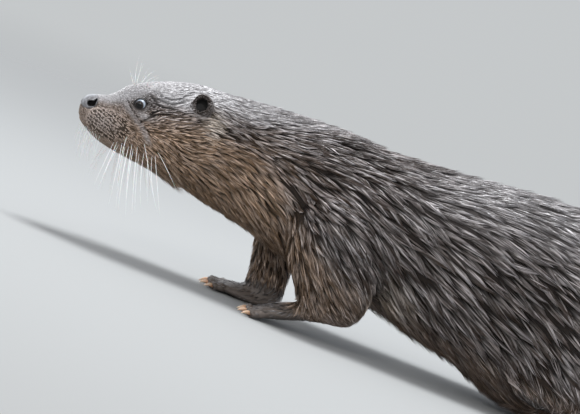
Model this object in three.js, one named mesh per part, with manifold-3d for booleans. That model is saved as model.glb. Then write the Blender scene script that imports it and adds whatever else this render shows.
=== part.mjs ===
// A Eurasian otter, life size, in a low steady crouch: head and neck stretched forward and a little to
// its left, forepaws together under the chest, haunches folded and the tail laid on the floor.
// Millimetres, +Z up. The nose points to -X, the otter's left side faces -Y and every sole is at Z = 0.
// The surface is that of the coat, out to the tips of the hair. The origin is on the floor, under the
// middle of the whole animal.
import * as THREE from "three";
import Module from "manifold-3d";
import { mergeVertices } from "three/addons/utils/BufferGeometryUtils.js";

const wasm = await Module();
wasm.setup();

// ---------------------------------------------------------------- driving dimensions

const GAP = 0.3; // clearance between two pieces that meet
const HEAD_TURN = 0.14; // tangent of the turn of the head to its left
const HEAD_TURN_START = -40; // where along X the neck starts to turn
const HEAD_TURN_LENGTH = 75;
const HEAD_LIFT = 0.0875; // rise of the head for each millimetre that it turns aside
const TAIL_SWEEP = 0.34; // tangent of the tail's sweep to the otter's right
const TAIL_SWEEP_START = 470;
const TAIL_SWEEP_LENGTH = 330;

// Facets around each kind of piece.
const AROUND = { head: 24, trunk: 18, limb: 14, palm: 10, toe: 6, claw: 5, ear: 11, nose: 12 };

const EYE = { x: -163.4, y: 20.6, z: 129, radius: 6.3 };
const EAR = { x: -117, y: 36.5, z: 149.6, radius: 9.4, faces: [-0.34, 0.9, 0.26] }; // right ear
const CLAW_RADIUS = 1.9;
const NOSTRIL = { x: -201.5, y: 9.6, z: 112.8, radius: 2.6, stretch: [1.2, 1, 0.9] };
const MOUTH = { front: [-215, 99.6], back: [-158, 92.2] }; // line of the closed lips (X and Z)
const LIMB_SQUARE = 2.2;
const NOSE_SQUARE = 2.3;

// The body, from the nose to the tip of the tail, as sections across it. Each row holds the section's
// highest point and lowest point (X and Z), its half width, the height of its widest place as a share
// of its depth, and how square it is (2 is an ellipse).
const HEAD_SECTIONS = [
  [-209.2, 109, -209.2, 107, 1, 0.5, 2], // front of the nose
  [-207.4, 115.8, -207.4, 99.5, 9.5, 0.5, 2.2],
  [-203.6, 120.1, -203.8, 95.2, 14.5, 0.46, 2.2],
  [-197.6, 122.2, -196.8, 91.2, 18.6, 0.44, 2.2],
  [-190.2, 125.2, -187.2, 87.7, 21.6, 0.42, 2.2], // whisker pads
  [-183.4, 131.2, -176, 85, 24.2, 0.42, 2.2], // stop, where the bridge rises to the brow
  [-176.6, 139.4, -165, 83.9, 27, 0.42, 2.2],
  [-167.6, 145, -152, 82.6, 30.2, 0.42, 2.2], // eyes
  [-155, 151.7, -138, 81.6, 34.5, 0.42, 2.25],
  [-138.5, 158.6, -120, 80.4, 39.5, 0.43, 2.3],
  [-119.5, 163.6, -101, 76.1, 43, 0.44, 2.3], // ears
  [-98.5, 165.4, -80, 71.1, 44.2, 0.46, 2.25], // back of the skull
  [-76.3, 167.3, -58, 67.4, 45, 0.48, 2.2],
  [-50, 170.4, -35, 62.8, 48, 0.48, 2.2], // neck
];
const TRUNK_SECTIONS = [
  [-22, 172.1, -13, 56.5, 53, 0.48, 2.2],
  [10, 172.5, 14, 49, 58.5, 0.48, 2.2], // point of the shoulder
  [45, 170.2, 46, 45, 63.5, 0.48, 2.25], // withers
  [90, 174.4, 88, 41.5, 67, 0.47, 2.3],
  [130, 177.9, 130, 31, 70, 0.45, 2.3], // chest
  [170, 182.2, 171, 23.5, 72, 0.44, 2.3],
  [210, 186, 211, 9, 73, 0.43, 2.35], // belly
  [250, 188.3, 250, 5, 73, 0.43, 2.35],
  [300, 187, 302, 8, 72, 0.43, 2.35], // loin
  [350, 178.6, 352, 20, 67, 0.44, 2.3],
  [400, 160, 398, 31, 57, 0.46, 2.25], // rump
  [440, 137, 434, 37, 45.5, 0.48, 2.2],
];
const TAIL_SECTIONS = [
  [475, 114.5, 466, 35, 36, 0.5, 2.1], // root of the tail
  [512, 91, 503, 24, 31, 0.5, 2.1],
  [556, 68, 549, 10.5, 27.5, 0.5, 2.1],
  [604, 51.5, 601, 1.2, 24.5, 0.48, 2.2],
  [656, 41.5, 655, -0.8, 21.5, 0.45, 2.3], // laid on the floor from here
  [712, 33.5, 712, -0.9, 18, 0.44, 2.3],
  [768, 26, 768, -0.9, 14, 0.44, 2.3],
  [816, 19, 816, -0.8, 9.8, 0.45, 2.2],
  [848, 12.6, 848, 0.2, 5.6, 0.5, 2],
  [862, 7.4, 862, 5.4, 1, 0.5, 2], // tip
];

// Swellings and hollows of the head and trunk, on both sides: a place, its spread along each axis and
// how far the surface moves there.
const FORMS = [
  { at: [-187, 20, 102], spread: [15, 9, 11], move: [0, 2.6, -0.4] }, // whisker pad
  { at: [-160, 29, 110], spread: [7, 9, 13], move: [0, -2.2, 0] }, // groove behind the pad
  { at: [-173, 24, 126], spread: [9, 8, 7], move: [0, -1.8, 0] }, // hollow in front of the eye
  { at: [-158, 19, 142], spread: [12, 9, 6], move: [0, 1.6, 1] }, // brow
  { at: [-128, 39, 108], spread: [24, 14, 20], move: [0, 3.2, 0] }, // cheek
  { at: [32, 24, 172], spread: [26, 13, 20], move: [0, 0, 4.5] }, // shoulder blade
  { at: [150, 0, 184], spread: [110, 16, 14], move: [0, 0, 1] }, // ridge of the back
  { at: [340, 58, 128], spread: [45, 18, 36], move: [0, 4, 0] }, // hip
];

// A limb's sections: front point and back point (X and Z), middle Y and half width.
const NEAR_FORELEG = [
  [14, 120, 76, 120, 50, 16],
  [-2, 100, 88, 98, 51, 25],
  [-4, 79, 88, 77, 51, 27],
  [1, 60, 86, 57, 50.5, 25],
  [11, 46, 85, 42, 50, 22],
  [19, 35.5, 81, 29, 49.5, 19],
  [22.5, 29, 73, 20.5, 49, 16.5],
  [22, 25.5, 54, 17, 48.5, 15],
  [18.5, 22, 37, 12, 48, 15],
];
const NEAR_PALM = [
  [18.2, 21.8, 36.6, 11.8, 48, 14.8],
  [11.5, 18.6, 24, 7.6, 48, 18],
  [4, 15, 12, 3.9, 48, 21],
  [-3.5, 10.4, 1, 2.2, 48, 21],
  [-7, 7, -5.5, 3.4, 48, 18],
];
const FAR_FORELEG = [
  [-12, 118, 54, 118, 48, 16],
  [-30, 96, 58, 96, 49, 25],
  [-33, 74, 40, 74, 48, 25],
  [-30.5, 56, 20, 55, 46, 21],
  [-26.5, 43, 14, 41, 44.5, 18.5],
  [-24, 31, 13, 26, 43, 17],
  [-22.6, 22, 14, 14, 42.5, 16],
  [-21.8, 15.6, 14.2, 5.4, 42, 15.8],
];
const FAR_PALM = [
  [-22, 15.2, 14.2, 5, 42, 15.6],
  [-24, 13.2, 13.5, 0.6, 42, 16.5],
  [-31, 11.8, -2, -0.8, 42, 19.5],
  [-39, 10.2, -25, -0.8, 42, 21.5],
  [-46, 6.8, -42, 1.6, 42, 19],
];
const HINDLEG = [
  [308, 156, 380, 158, 38, 14],
  [264, 134, 400, 138, 48, 24],
  [232, 106, 405, 112, 53.5, 28],
  [215, 80, 398, 88, 55.5, 29],
  [209, 58, 388, 66, 56, 27],
  [211, 40, 383, 50, 56, 24],
  [222, 25, 386, 40, 56, 21],
  [252, 17.5, 387, 31, 56, 18],
];
const HIND_FOOT = [
  [384, 20, 384, 9, 57, 8],
  [380, 29.5, 381, -0.8, 57, 13.5],
  [352, 29, 353, -0.9, 57, 16.5],
  [325, 22, 326, -0.9, 58, 21],
  [300, 15.6, 301, -0.8, 59, 26],
  [284, 11.2, 284, -0.6, 60, 28.5],
  [274, 7, 274, 1.4, 60, 30],
  [265, 4.6, 265, 1.8, 60, 29],
];

// Five toes from the inner one to the outer one: share of the full length, turn outwards in degrees,
// the longest toe, the room between two toes, the size of each, how high its tip is, and its claw.
const FORE_TOES = {
  share: [0.66, 0.92, 1, 0.94, 0.74],
  turn: [-20, -9, 0, 10, 21],
  length: 15.5,
  spacing: 8.6,
  wide: 5.2,
  high: 4.6,
  lift: 2.9,
  claw: 6.5,
};
const HIND_TOES = {
  share: [0.78, 0.92, 1, 1, 0.88],
  turn: [-13, -6, 0, 6, 13],
  length: 31,
  spacing: 11.4,
  wide: 5.6,
  high: 4.9,
  lift: 4.1,
  claw: 7,
};
const NEAR_FORE_TOES_START = [2, 48, 6.6];
const FAR_FORE_TOES_START = [-38, 42, 5.4];
const HIND_TOES_START = [282, 60, 6];

// Nose pad: highest point and lowest point (X and Z) and half width of its sections.
const NOSE_PAD = [
  [-209.4, 112.6, -209.4, 104.6, 6],
  [-208.2, 116.6, -208.2, 102.4, 8.4],
  [-204.8, 119.8, -204.4, 102.6, 9.8],
  [-200.6, 121.3, -199.6, 104.6, 9.6],
  [-196.6, 121.2, -196.2, 109, 7.4],
];

// Cup of an ear: distance from its axis as a share of its radius, and height along the axis.
const EAR_PROFILE = [
  [0, -6],
  [0.6, -5.2],
  [0.92, -1.6],
  [1, 2],
  [0.9, 3.2],
  [0.72, 1.8],
  [0.44, -1],
  [0, -2.2],
];

// Planes that part the body's pieces: a point (X and Z) and its lean from upright.
const NECK_CUT = [-93, 118, -0.16];
const TRUNK_CUT = [-20, 115, -0.1];
const TAIL_CUT = [470, 75, -0.14];
const TAIL_MIDDLE_CUT = [655, 20, 0];

// ---------------------------------------------------------------- materials

const coat = new THREE.MeshStandardMaterial({ color: 0x54443c, roughness: 0.55, metalness: 0 });
const paleCoat = new THREE.MeshStandardMaterial({ color: 0x80695a, roughness: 0.6, metalness: 0 });
const pawSkin = new THREE.MeshStandardMaterial({ color: 0x4d4440, roughness: 0.55, metalness: 0 });
const noseSkin = new THREE.MeshStandardMaterial({ color: 0x5c6068, roughness: 0.4, metalness: 0 });
const eyeball = new THREE.MeshStandardMaterial({ color: 0x1a1210, roughness: 0.06, metalness: 0 });
const horn = new THREE.MeshStandardMaterial({ color: 0xc49f78, roughness: 0.4, metalness: 0 });

// ---------------------------------------------------------------- geometry helpers

// A manifold solid from plain arrays of corners and triangles.
function solid(corners, triangles) {
  return new wasm.Manifold(
    new wasm.Mesh({
      numProp: 3,
      vertProperties: new Float32Array(corners.flat()),
      triVerts: new Uint32Array(triangles.flat()),
    }),
  );
}

// A manifold solid from a closed three.js geometry.
function solidFrom(geometry) {
  const bare = geometry.clone();
  bare.deleteAttribute("normal");
  bare.deleteAttribute("uv");
  const merged = mergeVertices(bare, 1e-4);
  return new wasm.Manifold(
    new wasm.Mesh({
      numProp: 3,
      vertProperties: new Float32Array(merged.attributes.position.array),
      triVerts: new Uint32Array(merged.index.array),
    }),
  );
}

// A box with its middle at a point, turned about Y.
function box(size, middle, turn = 0) {
  const geometry = new THREE.BoxGeometry(...size);
  geometry.rotateY(turn);
  geometry.translate(...middle);
  return solidFrom(geometry);
}

const FLOOR_CUT = box([2400, 600, 100], [300, 0, -50]);

// The largest piece of a solid, so that a cut leaves no crumbs.
function largest(whole) {
  return whole.decompose().reduce((a, b) => (a.volume() > b.volume() ? a : b));
}

// The smooth curve through four values, at a share t of the way from the second to the third.
function spline(a, b, c, d, t) {
  return (
    b +
    0.5 * t * (c - a + t * (2 * a - 5 * b + 4 * c - d + t * (3 * (b - c) + d - a)))
  );
}

// The rows of a table with rows added between them by the smooth curve.
function refine(rows, splits) {
  const row = (i) => rows[Math.min(Math.max(i, 0), rows.length - 1)];
  const finer = [];
  for (let i = 0; i < rows.length - 1; i++)
    for (let k = 0; k < splits; k++)
      finer.push(row(i).map((v, j) => spline(row(i - 1)[j], v, row(i + 1)[j], row(i + 2)[j], k / splits)));
  finer.push(rows.at(-1));
  return finer;
}

// Joins rings of points into a closed solid, with a point at the middle of each end.
function skinRings(rings) {
  const around = rings[0].length;
  const middle = (ring) => [0, 1, 2].map((j) => ring.reduce((sum, p) => sum + p[j], 0) / around);
  const corners = [...rings.flat(), middle(rings[0]), middle(rings.at(-1))];
  const triangles = [];
  for (let k = 0; k < around; k++) {
    const next = (k + 1) % around;
    for (let i = 0; i < rings.length - 1; i++) {
      const a = i * around;
      const b = a + around;
      triangles.push([a + k, b + next, b + k], [a + k, a + next, b + next]);
    }
    const last = (rings.length - 1) * around;
    triangles.push([corners.length - 2, next, k], [corners.length - 1, last + k, last + next]);
  }
  const made = solid(corners, triangles);
  return made.volume() > 0 ? made : solid(corners, triangles.map(([a, b, c]) => [a, c, b]));
}

const roundedPower = (v, square) => Math.sign(v) * Math.abs(v) ** (2 / square);

// A ring between two points in the XZ plane: half its width each side of y, widest at a level.
function ring(x1, z1, x2, z2, y, half, level, square, around, grow = 0) {
  const depth = Math.hypot(x1 - x2, z1 - z2);
  const up = [(x1 - x2) / depth, (z1 - z2) / depth];
  const heart = [x2 + (x1 - x2) * level, z2 + (z1 - z2) * level];
  return Array.from({ length: around }, (_, k) => {
    const angle = (2 * Math.PI * k) / around;
    const rise = roundedPower(Math.cos(angle), square);
    const side = roundedPower(Math.sin(angle), square);
    const reach = rise > 0 ? depth * (1 - level) + grow : depth * level + grow;
    return [heart[0] + up[0] * reach * rise, y + (half + grow) * side, heart[1] + up[1] * reach * rise];
  });
}

// Moves a point of the surface by the swellings and hollows near it.
function shaped([x, y, z]) {
  const side = Math.sign(y);
  let moved = [x, y, z];
  for (const { at, spread, move } of FORMS) {
    const away = ((x - at[0]) / spread[0]) ** 2 + ((Math.abs(y) - at[1]) / spread[1]) ** 2
      + ((z - at[2]) / spread[2]) ** 2;
    const share = Math.exp(-away / 2);
    moved = [moved[0] + share * move[0], moved[1] + share * move[1] * side, moved[2] + share * move[2]];
  }
  return moved;
}

// Sideways offset after a smooth start of a turn: tangent times the way gone, eased in over a length.
function offsetOfTurn(way, length, tangent) {
  const t = Math.max(way, 0) / length;
  return tangent * length * (t < 1 ? t ** 3 - t ** 4 / 2 : t - 0.5);
}

function slopeOfTurn(way, length, tangent) {
  const t = Math.min(Math.max(way, 0) / length, 1);
  return tangent * t * t * (3 - 2 * t);
}

// Bends a point of the straight body with the turn of the head and the sweep of the tail.
function bent([x, y, z]) {
  const ahead = HEAD_TURN_START - x;
  const behind = x - TAIL_SWEEP_START;
  const aside = offsetOfTurn(behind, TAIL_SWEEP_LENGTH, TAIL_SWEEP)
    - offsetOfTurn(ahead, HEAD_TURN_LENGTH, HEAD_TURN);
  const slope = slopeOfTurn(behind, TAIL_SWEEP_LENGTH, TAIL_SWEEP)
    + slopeOfTurn(ahead, HEAD_TURN_LENGTH, HEAD_TURN);
  const angle = Math.atan(slope);
  const lift = HEAD_LIFT * offsetOfTurn(ahead, HEAD_TURN_LENGTH, HEAD_TURN);
  return [x - y * Math.sin(angle), aside + y * Math.cos(angle), z + lift];
}

// The straight body's surface through the rows of its table, bent into the pose.
function bodyLoft(rows, around, grow = 0) {
  const rings = refine(rows, 2).map(([xt, zt, xb, zb, half, level, square]) =>
    ring(xt, zt, xb, zb, 0, half, level, square, around, grow).map((p) => bent(shaped(p))),
  );
  return skinRings(rings);
}

// A limb piece: side is -1 for the otter's left.
function limb(rows, side, around, grow = 0) {
  const rings = rows.map(([xf, zf, xb, zb, y, half]) =>
    ring(xf, zf, xb, zb, side * y, half, 0.5, LIMB_SQUARE, around, grow),
  );
  return skinRings(rings);
}

// A tapering piece along a path of [x, y, z, half width, half height] points, round in section.
function taper(path, around) {
  const rings = path.map(([x, y, z, wide, high], i) => {
    const a = path[Math.max(i - 1, 0)];
    const b = path[Math.min(i + 1, path.length - 1)];
    const along = new THREE.Vector3(b[0] - a[0], b[1] - a[1], b[2] - a[2]).normalize();
    const side = new THREE.Vector3(0, 0, 1).cross(along).normalize();
    const up = along.clone().cross(side);
    return Array.from({ length: around }, (_, k) => {
      const angle = (2 * Math.PI * k) / around;
      const p = new THREE.Vector3(x, y, z)
        .addScaledVector(side, wide * Math.cos(angle))
        .addScaledVector(up, high * Math.sin(angle));
      return p.toArray();
    });
  });
  return skinRings(rings);
}

// ---------------------------------------------------------------- pieces

const group = new THREE.Group();

function addNode(name, manifold, material) {
  const { vertProperties, triVerts } = largest(manifold).getMesh();
  const geometry = new THREE.BufferGeometry();
  geometry.setAttribute("position", new THREE.BufferAttribute(vertProperties, 3));
  geometry.setIndex(new THREE.BufferAttribute(triVerts, 1));
  geometry.computeVertexNormals();
  const mesh = new THREE.Mesh(geometry, material);
  mesh.name = name;
  group.add(mesh);
}

const SIDES = [
  { name: "left", side: -1 },
  { name: "right", side: 1 },
];

const HEAD_ROWS = [...HEAD_SECTIONS, TRUNK_SECTIONS[0]];
const BODY_ROWS = [...HEAD_SECTIONS.slice(-4), ...TRUNK_SECTIONS, ...TAIL_SECTIONS];
const headLoft = bodyLoft(HEAD_ROWS, AROUND.head);
const trunkLoft = bodyLoft(BODY_ROWS, AROUND.trunk);
const grownHead = bodyLoft(HEAD_ROWS, AROUND.head, GAP);
const grownTrunk = bodyLoft(BODY_ROWS, AROUND.trunk, GAP);

// All that lies behind a cutting plane, moved back by a shift.
const HALF = 800;
function behindPlane(x, z, lean, shift) {
  const middle = [x + shift + HALF * Math.cos(lean), 0, z - HALF * Math.sin(lean)];
  return box([2 * HALF, 2 * HALF, 2 * HALF], middle, lean);
}

// The piece of a solid between two cutting planes, half a gap short of each.
function between(whole, front, back) {
  let piece = whole;
  if (front) piece = piece.intersect(behindPlane(...front, GAP / 2));
  if (back) piece = piece.subtract(behindPlane(...back, -GAP / 2));
  return piece;
}

// Eyes, and the sockets that hold them.
function ball(side, radius) {
  const geometry = new THREE.SphereGeometry(radius, 12, 8);
  geometry.translate(...bent([EYE.x, side * EYE.y, EYE.z]));
  return solidFrom(geometry);
}
const sockets = SIDES.map(({ side }) => ball(side, EYE.radius + GAP));
for (const { name, side } of SIDES) addNode(`eye_${name}`, ball(side, EYE.radius), eyeball);

// Nose pad: a rounded pad with two nostrils, let into the front of the head.
function nosePad(grow) {
  const rings = NOSE_PAD.map(([xt, zt, xb, zb, half]) =>
    ring(xt, zt, xb, zb, 0, half, 0.5, NOSE_SQUARE, AROUND.nose, grow).map(bent),
  );
  return skinRings(rings);
}
const nostrils = SIDES.map(({ side }) => {
  const geometry = new THREE.SphereGeometry(NOSTRIL.radius, 6, 4);
  geometry.scale(...NOSTRIL.stretch);
  geometry.translate(...bent([NOSTRIL.x, side * NOSTRIL.y, NOSTRIL.z]));
  return solidFrom(geometry);
});
const nose = nostrils.reduce((whole, cut) => whole.subtract(cut), nosePad(0));
addNode("nose", nose, noseSkin);

// Head with its lower jaw parted along the line of the mouth.
const mouthLean = Math.atan2(MOUTH.front[1] - MOUTH.back[1], MOUTH.back[0] - MOUTH.front[0]);
const JAW_BLOCK = { long: 120, high: 40 };
function jawBlock(grow) {
  const ahead = JAW_BLOCK.long / 2;
  const down = JAW_BLOCK.high / 2;
  const middle = [
    MOUTH.back[0] + grow - ahead * Math.cos(mouthLean) - down * Math.sin(mouthLean),
    0,
    MOUTH.back[1] + grow + ahead * Math.sin(mouthLean) - down * Math.cos(mouthLean),
  ];
  return box([JAW_BLOCK.long, JAW_BLOCK.long, JAW_BLOCK.high], middle, mouthLean);
}
let head = between(headLoft, null, NECK_CUT).subtract(nosePad(GAP));
for (const socket of sockets) head = head.subtract(socket);
addNode("lower_jaw", head.intersect(jawBlock(0)), paleCoat);
head = head.subtract(jawBlock(GAP));

// Ears: small round cups that face outwards, a little forwards and a little up.
function ear(side) {
  const points = EAR_PROFILE.map(([share, height]) => new THREE.Vector2(share * EAR.radius, height));
  const geometry = new THREE.LatheGeometry(points, AROUND.ear);
  const faces = new THREE.Vector3(EAR.faces[0], side * EAR.faces[1], EAR.faces[2]).normalize();
  geometry.applyQuaternion(new THREE.Quaternion().setFromUnitVectors(new THREE.Vector3(0, 1, 0), faces));
  geometry.translate(...bent([EAR.x, side * EAR.y, EAR.z]));
  return solidFrom(geometry);
}
for (const { name, side } of SIDES) {
  addNode(`ear_${name}`, ear(side).subtract(grownHead), coat);
}
addNode("head", head, coat);

addNode("neck", between(trunkLoft, NECK_CUT, TRUNK_CUT), coat);
addNode("trunk", between(trunkLoft, TRUNK_CUT, TAIL_CUT), coat);
addNode("tail_root", between(trunkLoft, TAIL_CUT, TAIL_MIDDLE_CUT).subtract(FLOOR_CUT), coat);
addNode("tail_end", between(trunkLoft, TAIL_MIDDLE_CUT, null).subtract(FLOOR_CUT), coat);

// Legs, paws and claws. Along each toe, at(way) gives a row of its path: the place at that share of the
// toe's reach, its height, half width and half height.
function toeLines(start, side, toes) {
  return toes.share.map((share, i) => {
    const turn = THREE.MathUtils.degToRad(toes.turn[i]);
    const reach = toes.length * share;
    const y = side * (start[1] + (i - 2) * toes.spacing);
    const at = (way, z, wide, high) => [
      start[0] - Math.cos(turn) * way * reach,
      y + side * Math.sin(turn) * way * reach,
      z,
      wide,
      high,
    ];
    return { at, reach, startZ: start[2], toes };
  });
}

function toe({ at, startZ, toes: { wide, high, lift } }) {
  const knuckle = (startZ + lift) / 2 + 0.9;
  const path = [
    at(-0.2, startZ, wide * 0.9, high * 0.9),
    at(0.45, knuckle, wide, high),
    at(0.86, lift, wide * 0.92, high * 0.96),
    at(1, lift, wide * 0.62, high * 0.62),
  ];
  return taper(path, AROUND.toe);
}

// A claw stands just clear of the blunt end of its toe and curves down to a point.
function claw({ at, reach, toes: { high, lift, claw: length } }) {
  const past = (way) => 1 + (GAP + way) / reach;
  const path = [
    at(past(0), lift + high * 0.1, CLAW_RADIUS, CLAW_RADIUS),
    at(past(length * 0.55), lift, CLAW_RADIUS * 0.7, CLAW_RADIUS * 0.75),
    at(past(length), lift - high * 0.5, CLAW_RADIUS * 0.15, CLAW_RADIUS * 0.15),
  ];
  return taper(path, AROUND.claw);
}

function addPaw(name, palm, lines) {
  let whole = palm;
  for (const line of lines) whole = whole.add(toe(line));
  addNode(name, whole.subtract(FLOOR_CUT), pawSkin);
  lines.forEach((line, i) => addNode(`${name.replace("paw", "claw")}_${i + 1}`, claw(line), horn));
}

const FORELEGS = [
  { ...SIDES[0], leg: NEAR_FORELEG, palm: NEAR_PALM, start: NEAR_FORE_TOES_START },
  { ...SIDES[1], leg: FAR_FORELEG, palm: FAR_PALM, start: FAR_FORE_TOES_START },
];
for (const { name, side, leg, palm, start } of FORELEGS) {
  addNode(`foreleg_${name}`, limb(leg, side, AROUND.limb).subtract(grownTrunk), coat);
  const hand = limb(palm, side, AROUND.palm).subtract(limb(leg, side, AROUND.limb, GAP));
  addPaw(`forepaw_${name}`, hand, toeLines(start, side, FORE_TOES));
}
for (const { name, side } of SIDES) {
  addNode(`hindleg_${name}`, limb(HINDLEG, side, AROUND.limb).subtract(grownTrunk), coat);
  const foot = limb(HIND_FOOT, side, AROUND.palm).subtract(limb(HINDLEG, side, AROUND.limb, GAP));
  addPaw(`hindpaw_${name}`, foot, toeLines(HIND_TOES_START, side, HIND_TOES));
}

// The origin: on the floor, under the middle of the animal.
const bounds = new THREE.Box3().setFromObject(group);
group.position.set(-(bounds.min.x + bounds.max.x) / 2, -(bounds.min.y + bounds.max.y) / 2, 0);

export default group;
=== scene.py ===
"""A Eurasian otter, life size, as a still museum model: one modelled skin, a wet coat of pointed locks,
bare nose, eyes with lids, claws and whiskers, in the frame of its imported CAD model.

Shapes are worked out in millimetres in the otter's own frame (nose to -X, left side to -Y, soles at
Z = 0) and moved into the row's frame, in metres, as they are put in meshes.
"""
import math
import bpy
import numpy as np
from mathutils import Matrix, Vector


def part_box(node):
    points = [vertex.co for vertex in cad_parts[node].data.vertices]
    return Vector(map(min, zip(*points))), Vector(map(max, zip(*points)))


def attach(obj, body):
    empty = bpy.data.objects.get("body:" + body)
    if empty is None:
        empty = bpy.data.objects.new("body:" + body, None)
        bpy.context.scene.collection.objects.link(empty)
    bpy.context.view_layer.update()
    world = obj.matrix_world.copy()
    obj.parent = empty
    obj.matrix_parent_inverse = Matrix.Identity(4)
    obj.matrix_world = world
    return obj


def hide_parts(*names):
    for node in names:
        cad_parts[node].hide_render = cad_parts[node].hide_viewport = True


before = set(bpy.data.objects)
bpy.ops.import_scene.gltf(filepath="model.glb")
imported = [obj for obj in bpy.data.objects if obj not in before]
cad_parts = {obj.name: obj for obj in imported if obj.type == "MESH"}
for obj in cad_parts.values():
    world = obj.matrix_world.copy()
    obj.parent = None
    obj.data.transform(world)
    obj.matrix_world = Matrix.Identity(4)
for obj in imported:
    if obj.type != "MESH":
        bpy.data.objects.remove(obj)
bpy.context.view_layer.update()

# ------------------------------------------------------------------ body surface
# The otter's body from the nose to the tip of the tail is one swept surface: a spindle of a trunk, a flat
# broad head and a thick tapering tail. It is built up from sections across the body, in clay-modeller's
# fashion, and then bent: the head turns a little to its left and the tail sweeps to the right.

HEAD_TURN, HEAD_TURN_START, HEAD_TURN_LENGTH, HEAD_LIFT = 0.14, -40.0, 75.0, 0.0875
TAIL_SWEEP, TAIL_SWEEP_START, TAIL_SWEEP_LENGTH = 0.34, 470.0, 330.0

# Highest point (X, Z), lowest point (X, Z), half width, level of the widest place, squareness.
BODY_SECTIONS = np.array([
    [-209.2, 109, -209.2, 107, 1, 0.5, 2],  # front of the muzzle
    [-207.4, 115.8, -207.4, 99.5, 9.5, 0.5, 2.2],
    [-203.6, 120.1, -203.8, 95.2, 14.5, 0.46, 2.2],
    [-197.6, 122.2, -196.8, 91.2, 18.6, 0.44, 2.2],
    [-190.2, 125.2, -187.2, 87.7, 21.6, 0.42, 2.2],  # whisker pads
    [-183.4, 131.2, -176, 85, 24.2, 0.42, 2.2],
    [-176.6, 139.4, -165, 83.9, 27, 0.42, 2.2],
    [-167.6, 145, -152, 82.6, 30.2, 0.42, 2.2],  # eyes
    [-155, 151.7, -138, 81.6, 34.5, 0.42, 2.25],
    [-138.5, 158.6, -120, 80.4, 39.5, 0.43, 2.3],
    [-119.5, 163.6, -101, 76.1, 43, 0.44, 2.3],  # ears
    [-98.5, 165.4, -80, 71.1, 44.2, 0.46, 2.25],
    [-76.3, 167.3, -58, 67.4, 45, 0.48, 2.2],
    [-50, 170.4, -35, 62.8, 48, 0.48, 2.2],  # neck
    [-22, 172.1, -13, 56.5, 53, 0.48, 2.2],
    [10, 172.5, 14, 49, 58.5, 0.48, 2.2],
    [45, 170.2, 46, 45, 63.5, 0.48, 2.25],  # withers
    [90, 174.4, 88, 41.5, 67, 0.47, 2.3],
    [130, 177.9, 130, 31, 70, 0.45, 2.3],  # chest
    [170, 182.2, 171, 23.5, 72, 0.44, 2.3],
    [210, 186, 211, 9, 73, 0.43, 2.35],  # belly
    [250, 188.3, 250, 5, 73, 0.43, 2.35],
    [300, 187, 302, 8, 72, 0.43, 2.35],
    [350, 178.6, 352, 20, 67, 0.44, 2.3],
    [400, 160, 398, 31, 57, 0.46, 2.25],  # rump
    [440, 137, 434, 37, 45.5, 0.48, 2.2],
    [475, 114.5, 466, 35, 36, 0.5, 2.1],  # root of the tail
    [512, 91, 503, 24, 31, 0.5, 2.1],
    [556, 68, 549, 10.5, 27.5, 0.5, 2.1],
    [604, 51.5, 601, 1.2, 24.5, 0.48, 2.2],
    [656, 41.5, 655, -0.8, 21.5, 0.45, 2.3],
    [712, 33.5, 712, -0.9, 18, 0.44, 2.3],
    [768, 26, 768, -0.9, 14, 0.44, 2.3],
    [816, 19, 816, -0.8, 9.8, 0.45, 2.2],
    [848, 12.6, 848, 0.2, 5.6, 0.5, 2],
    [862, 7.4, 862, 5.4, 1, 0.5, 2],  # tip of the tail
])
# How deep the coat is over the skin, along X.
COAT_DEPTH_X = [-210, -190, -150, -110, -60, 0, 90, 420, 520, 862]
COAT_DEPTH = [0.3, 0.7, 1.3, 2.0, 3.2, 4.4, 5.0, 5.0, 4.2, 2.0]

# Swellings and hollows on both sides: place, spread along each axis, movement there.
BODY_FORMS = [
    ((-187, 20, 102), (15, 9, 11), (0, 2.6, -0.4)),  # whisker pad
    ((-160, 29, 110), (7, 9, 13), (0, -2.2, 0)),  # groove behind the pad
    ((-173, 24, 126), (9, 8, 7), (0, -1.8, 0)),  # hollow in front of the eye
    ((-158, 19, 142), (12, 9, 6), (0, 1.6, 1)),  # brow
    ((-128, 39, 108), (24, 14, 20), (0, 3.2, 0)),  # cheek
    ((32, 24, 172), (26, 13, 20), (0, 0, 4.5)),  # shoulder blade
    ((150, 0, 184), (110, 16, 14), (0, 0, 1)),  # ridge of the back
    ((340, 58, 128), (45, 18, 36), (0, 4, 0)),  # hip
]


def smooth_rows(rows, splits):
    """Rows with more between them: each column follows the Catmull-Rom curve through its numbers,
    with splits[i] rows from row i up to the next."""
    ends = np.vstack([rows[:1], rows, rows[-1:]])
    out = []
    for i, count in enumerate(splits):
        a, b, c, d = ends[i:i + 4]
        t = (np.arange(count) / count)[:, None]
        out.append(b + 0.5 * t * (c - a + t * (2 * a - 5 * b + 4 * c - d + t * (3 * (b - c) + d - a))))
    return np.vstack(out + [rows[-1:]])


def rounded(v, square):
    """Sign of v times its size to the power 2/square: the sine or cosine of a superellipse."""
    return np.sign(v) * np.abs(v) ** (2 / square)


def across(rows, theta, grow):
    """Section rings: row i's ring goes round from its highest point (angle 0) by way of +Y. Height above
    the widest level is the reach up or down times the rounded cosine, and the side way is the half width
    times the rounded sine; grow is added to both."""
    top, low = rows[:, 0:2], rows[:, 2:4]
    depth = np.linalg.norm(top - low, axis=1)[:, None]
    up = (top - low) / depth
    level, square = rows[:, 5:6], rows[:, 6:7]
    heart = low + (top - low) * level
    rise = rounded(np.cos(theta), square)
    side = rounded(np.sin(theta), square)
    reach = np.where(rise > 0, depth * (1 - level), depth * level) + grow[:, None]
    x = heart[:, 0:1] + up[:, 0:1] * reach * rise
    z = heart[:, 1:2] + up[:, 1:2] * reach * rise
    y = (rows[:, 4:5] + grow[:, None]) * side
    return np.stack([x, y, z], axis=-1)


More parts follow.
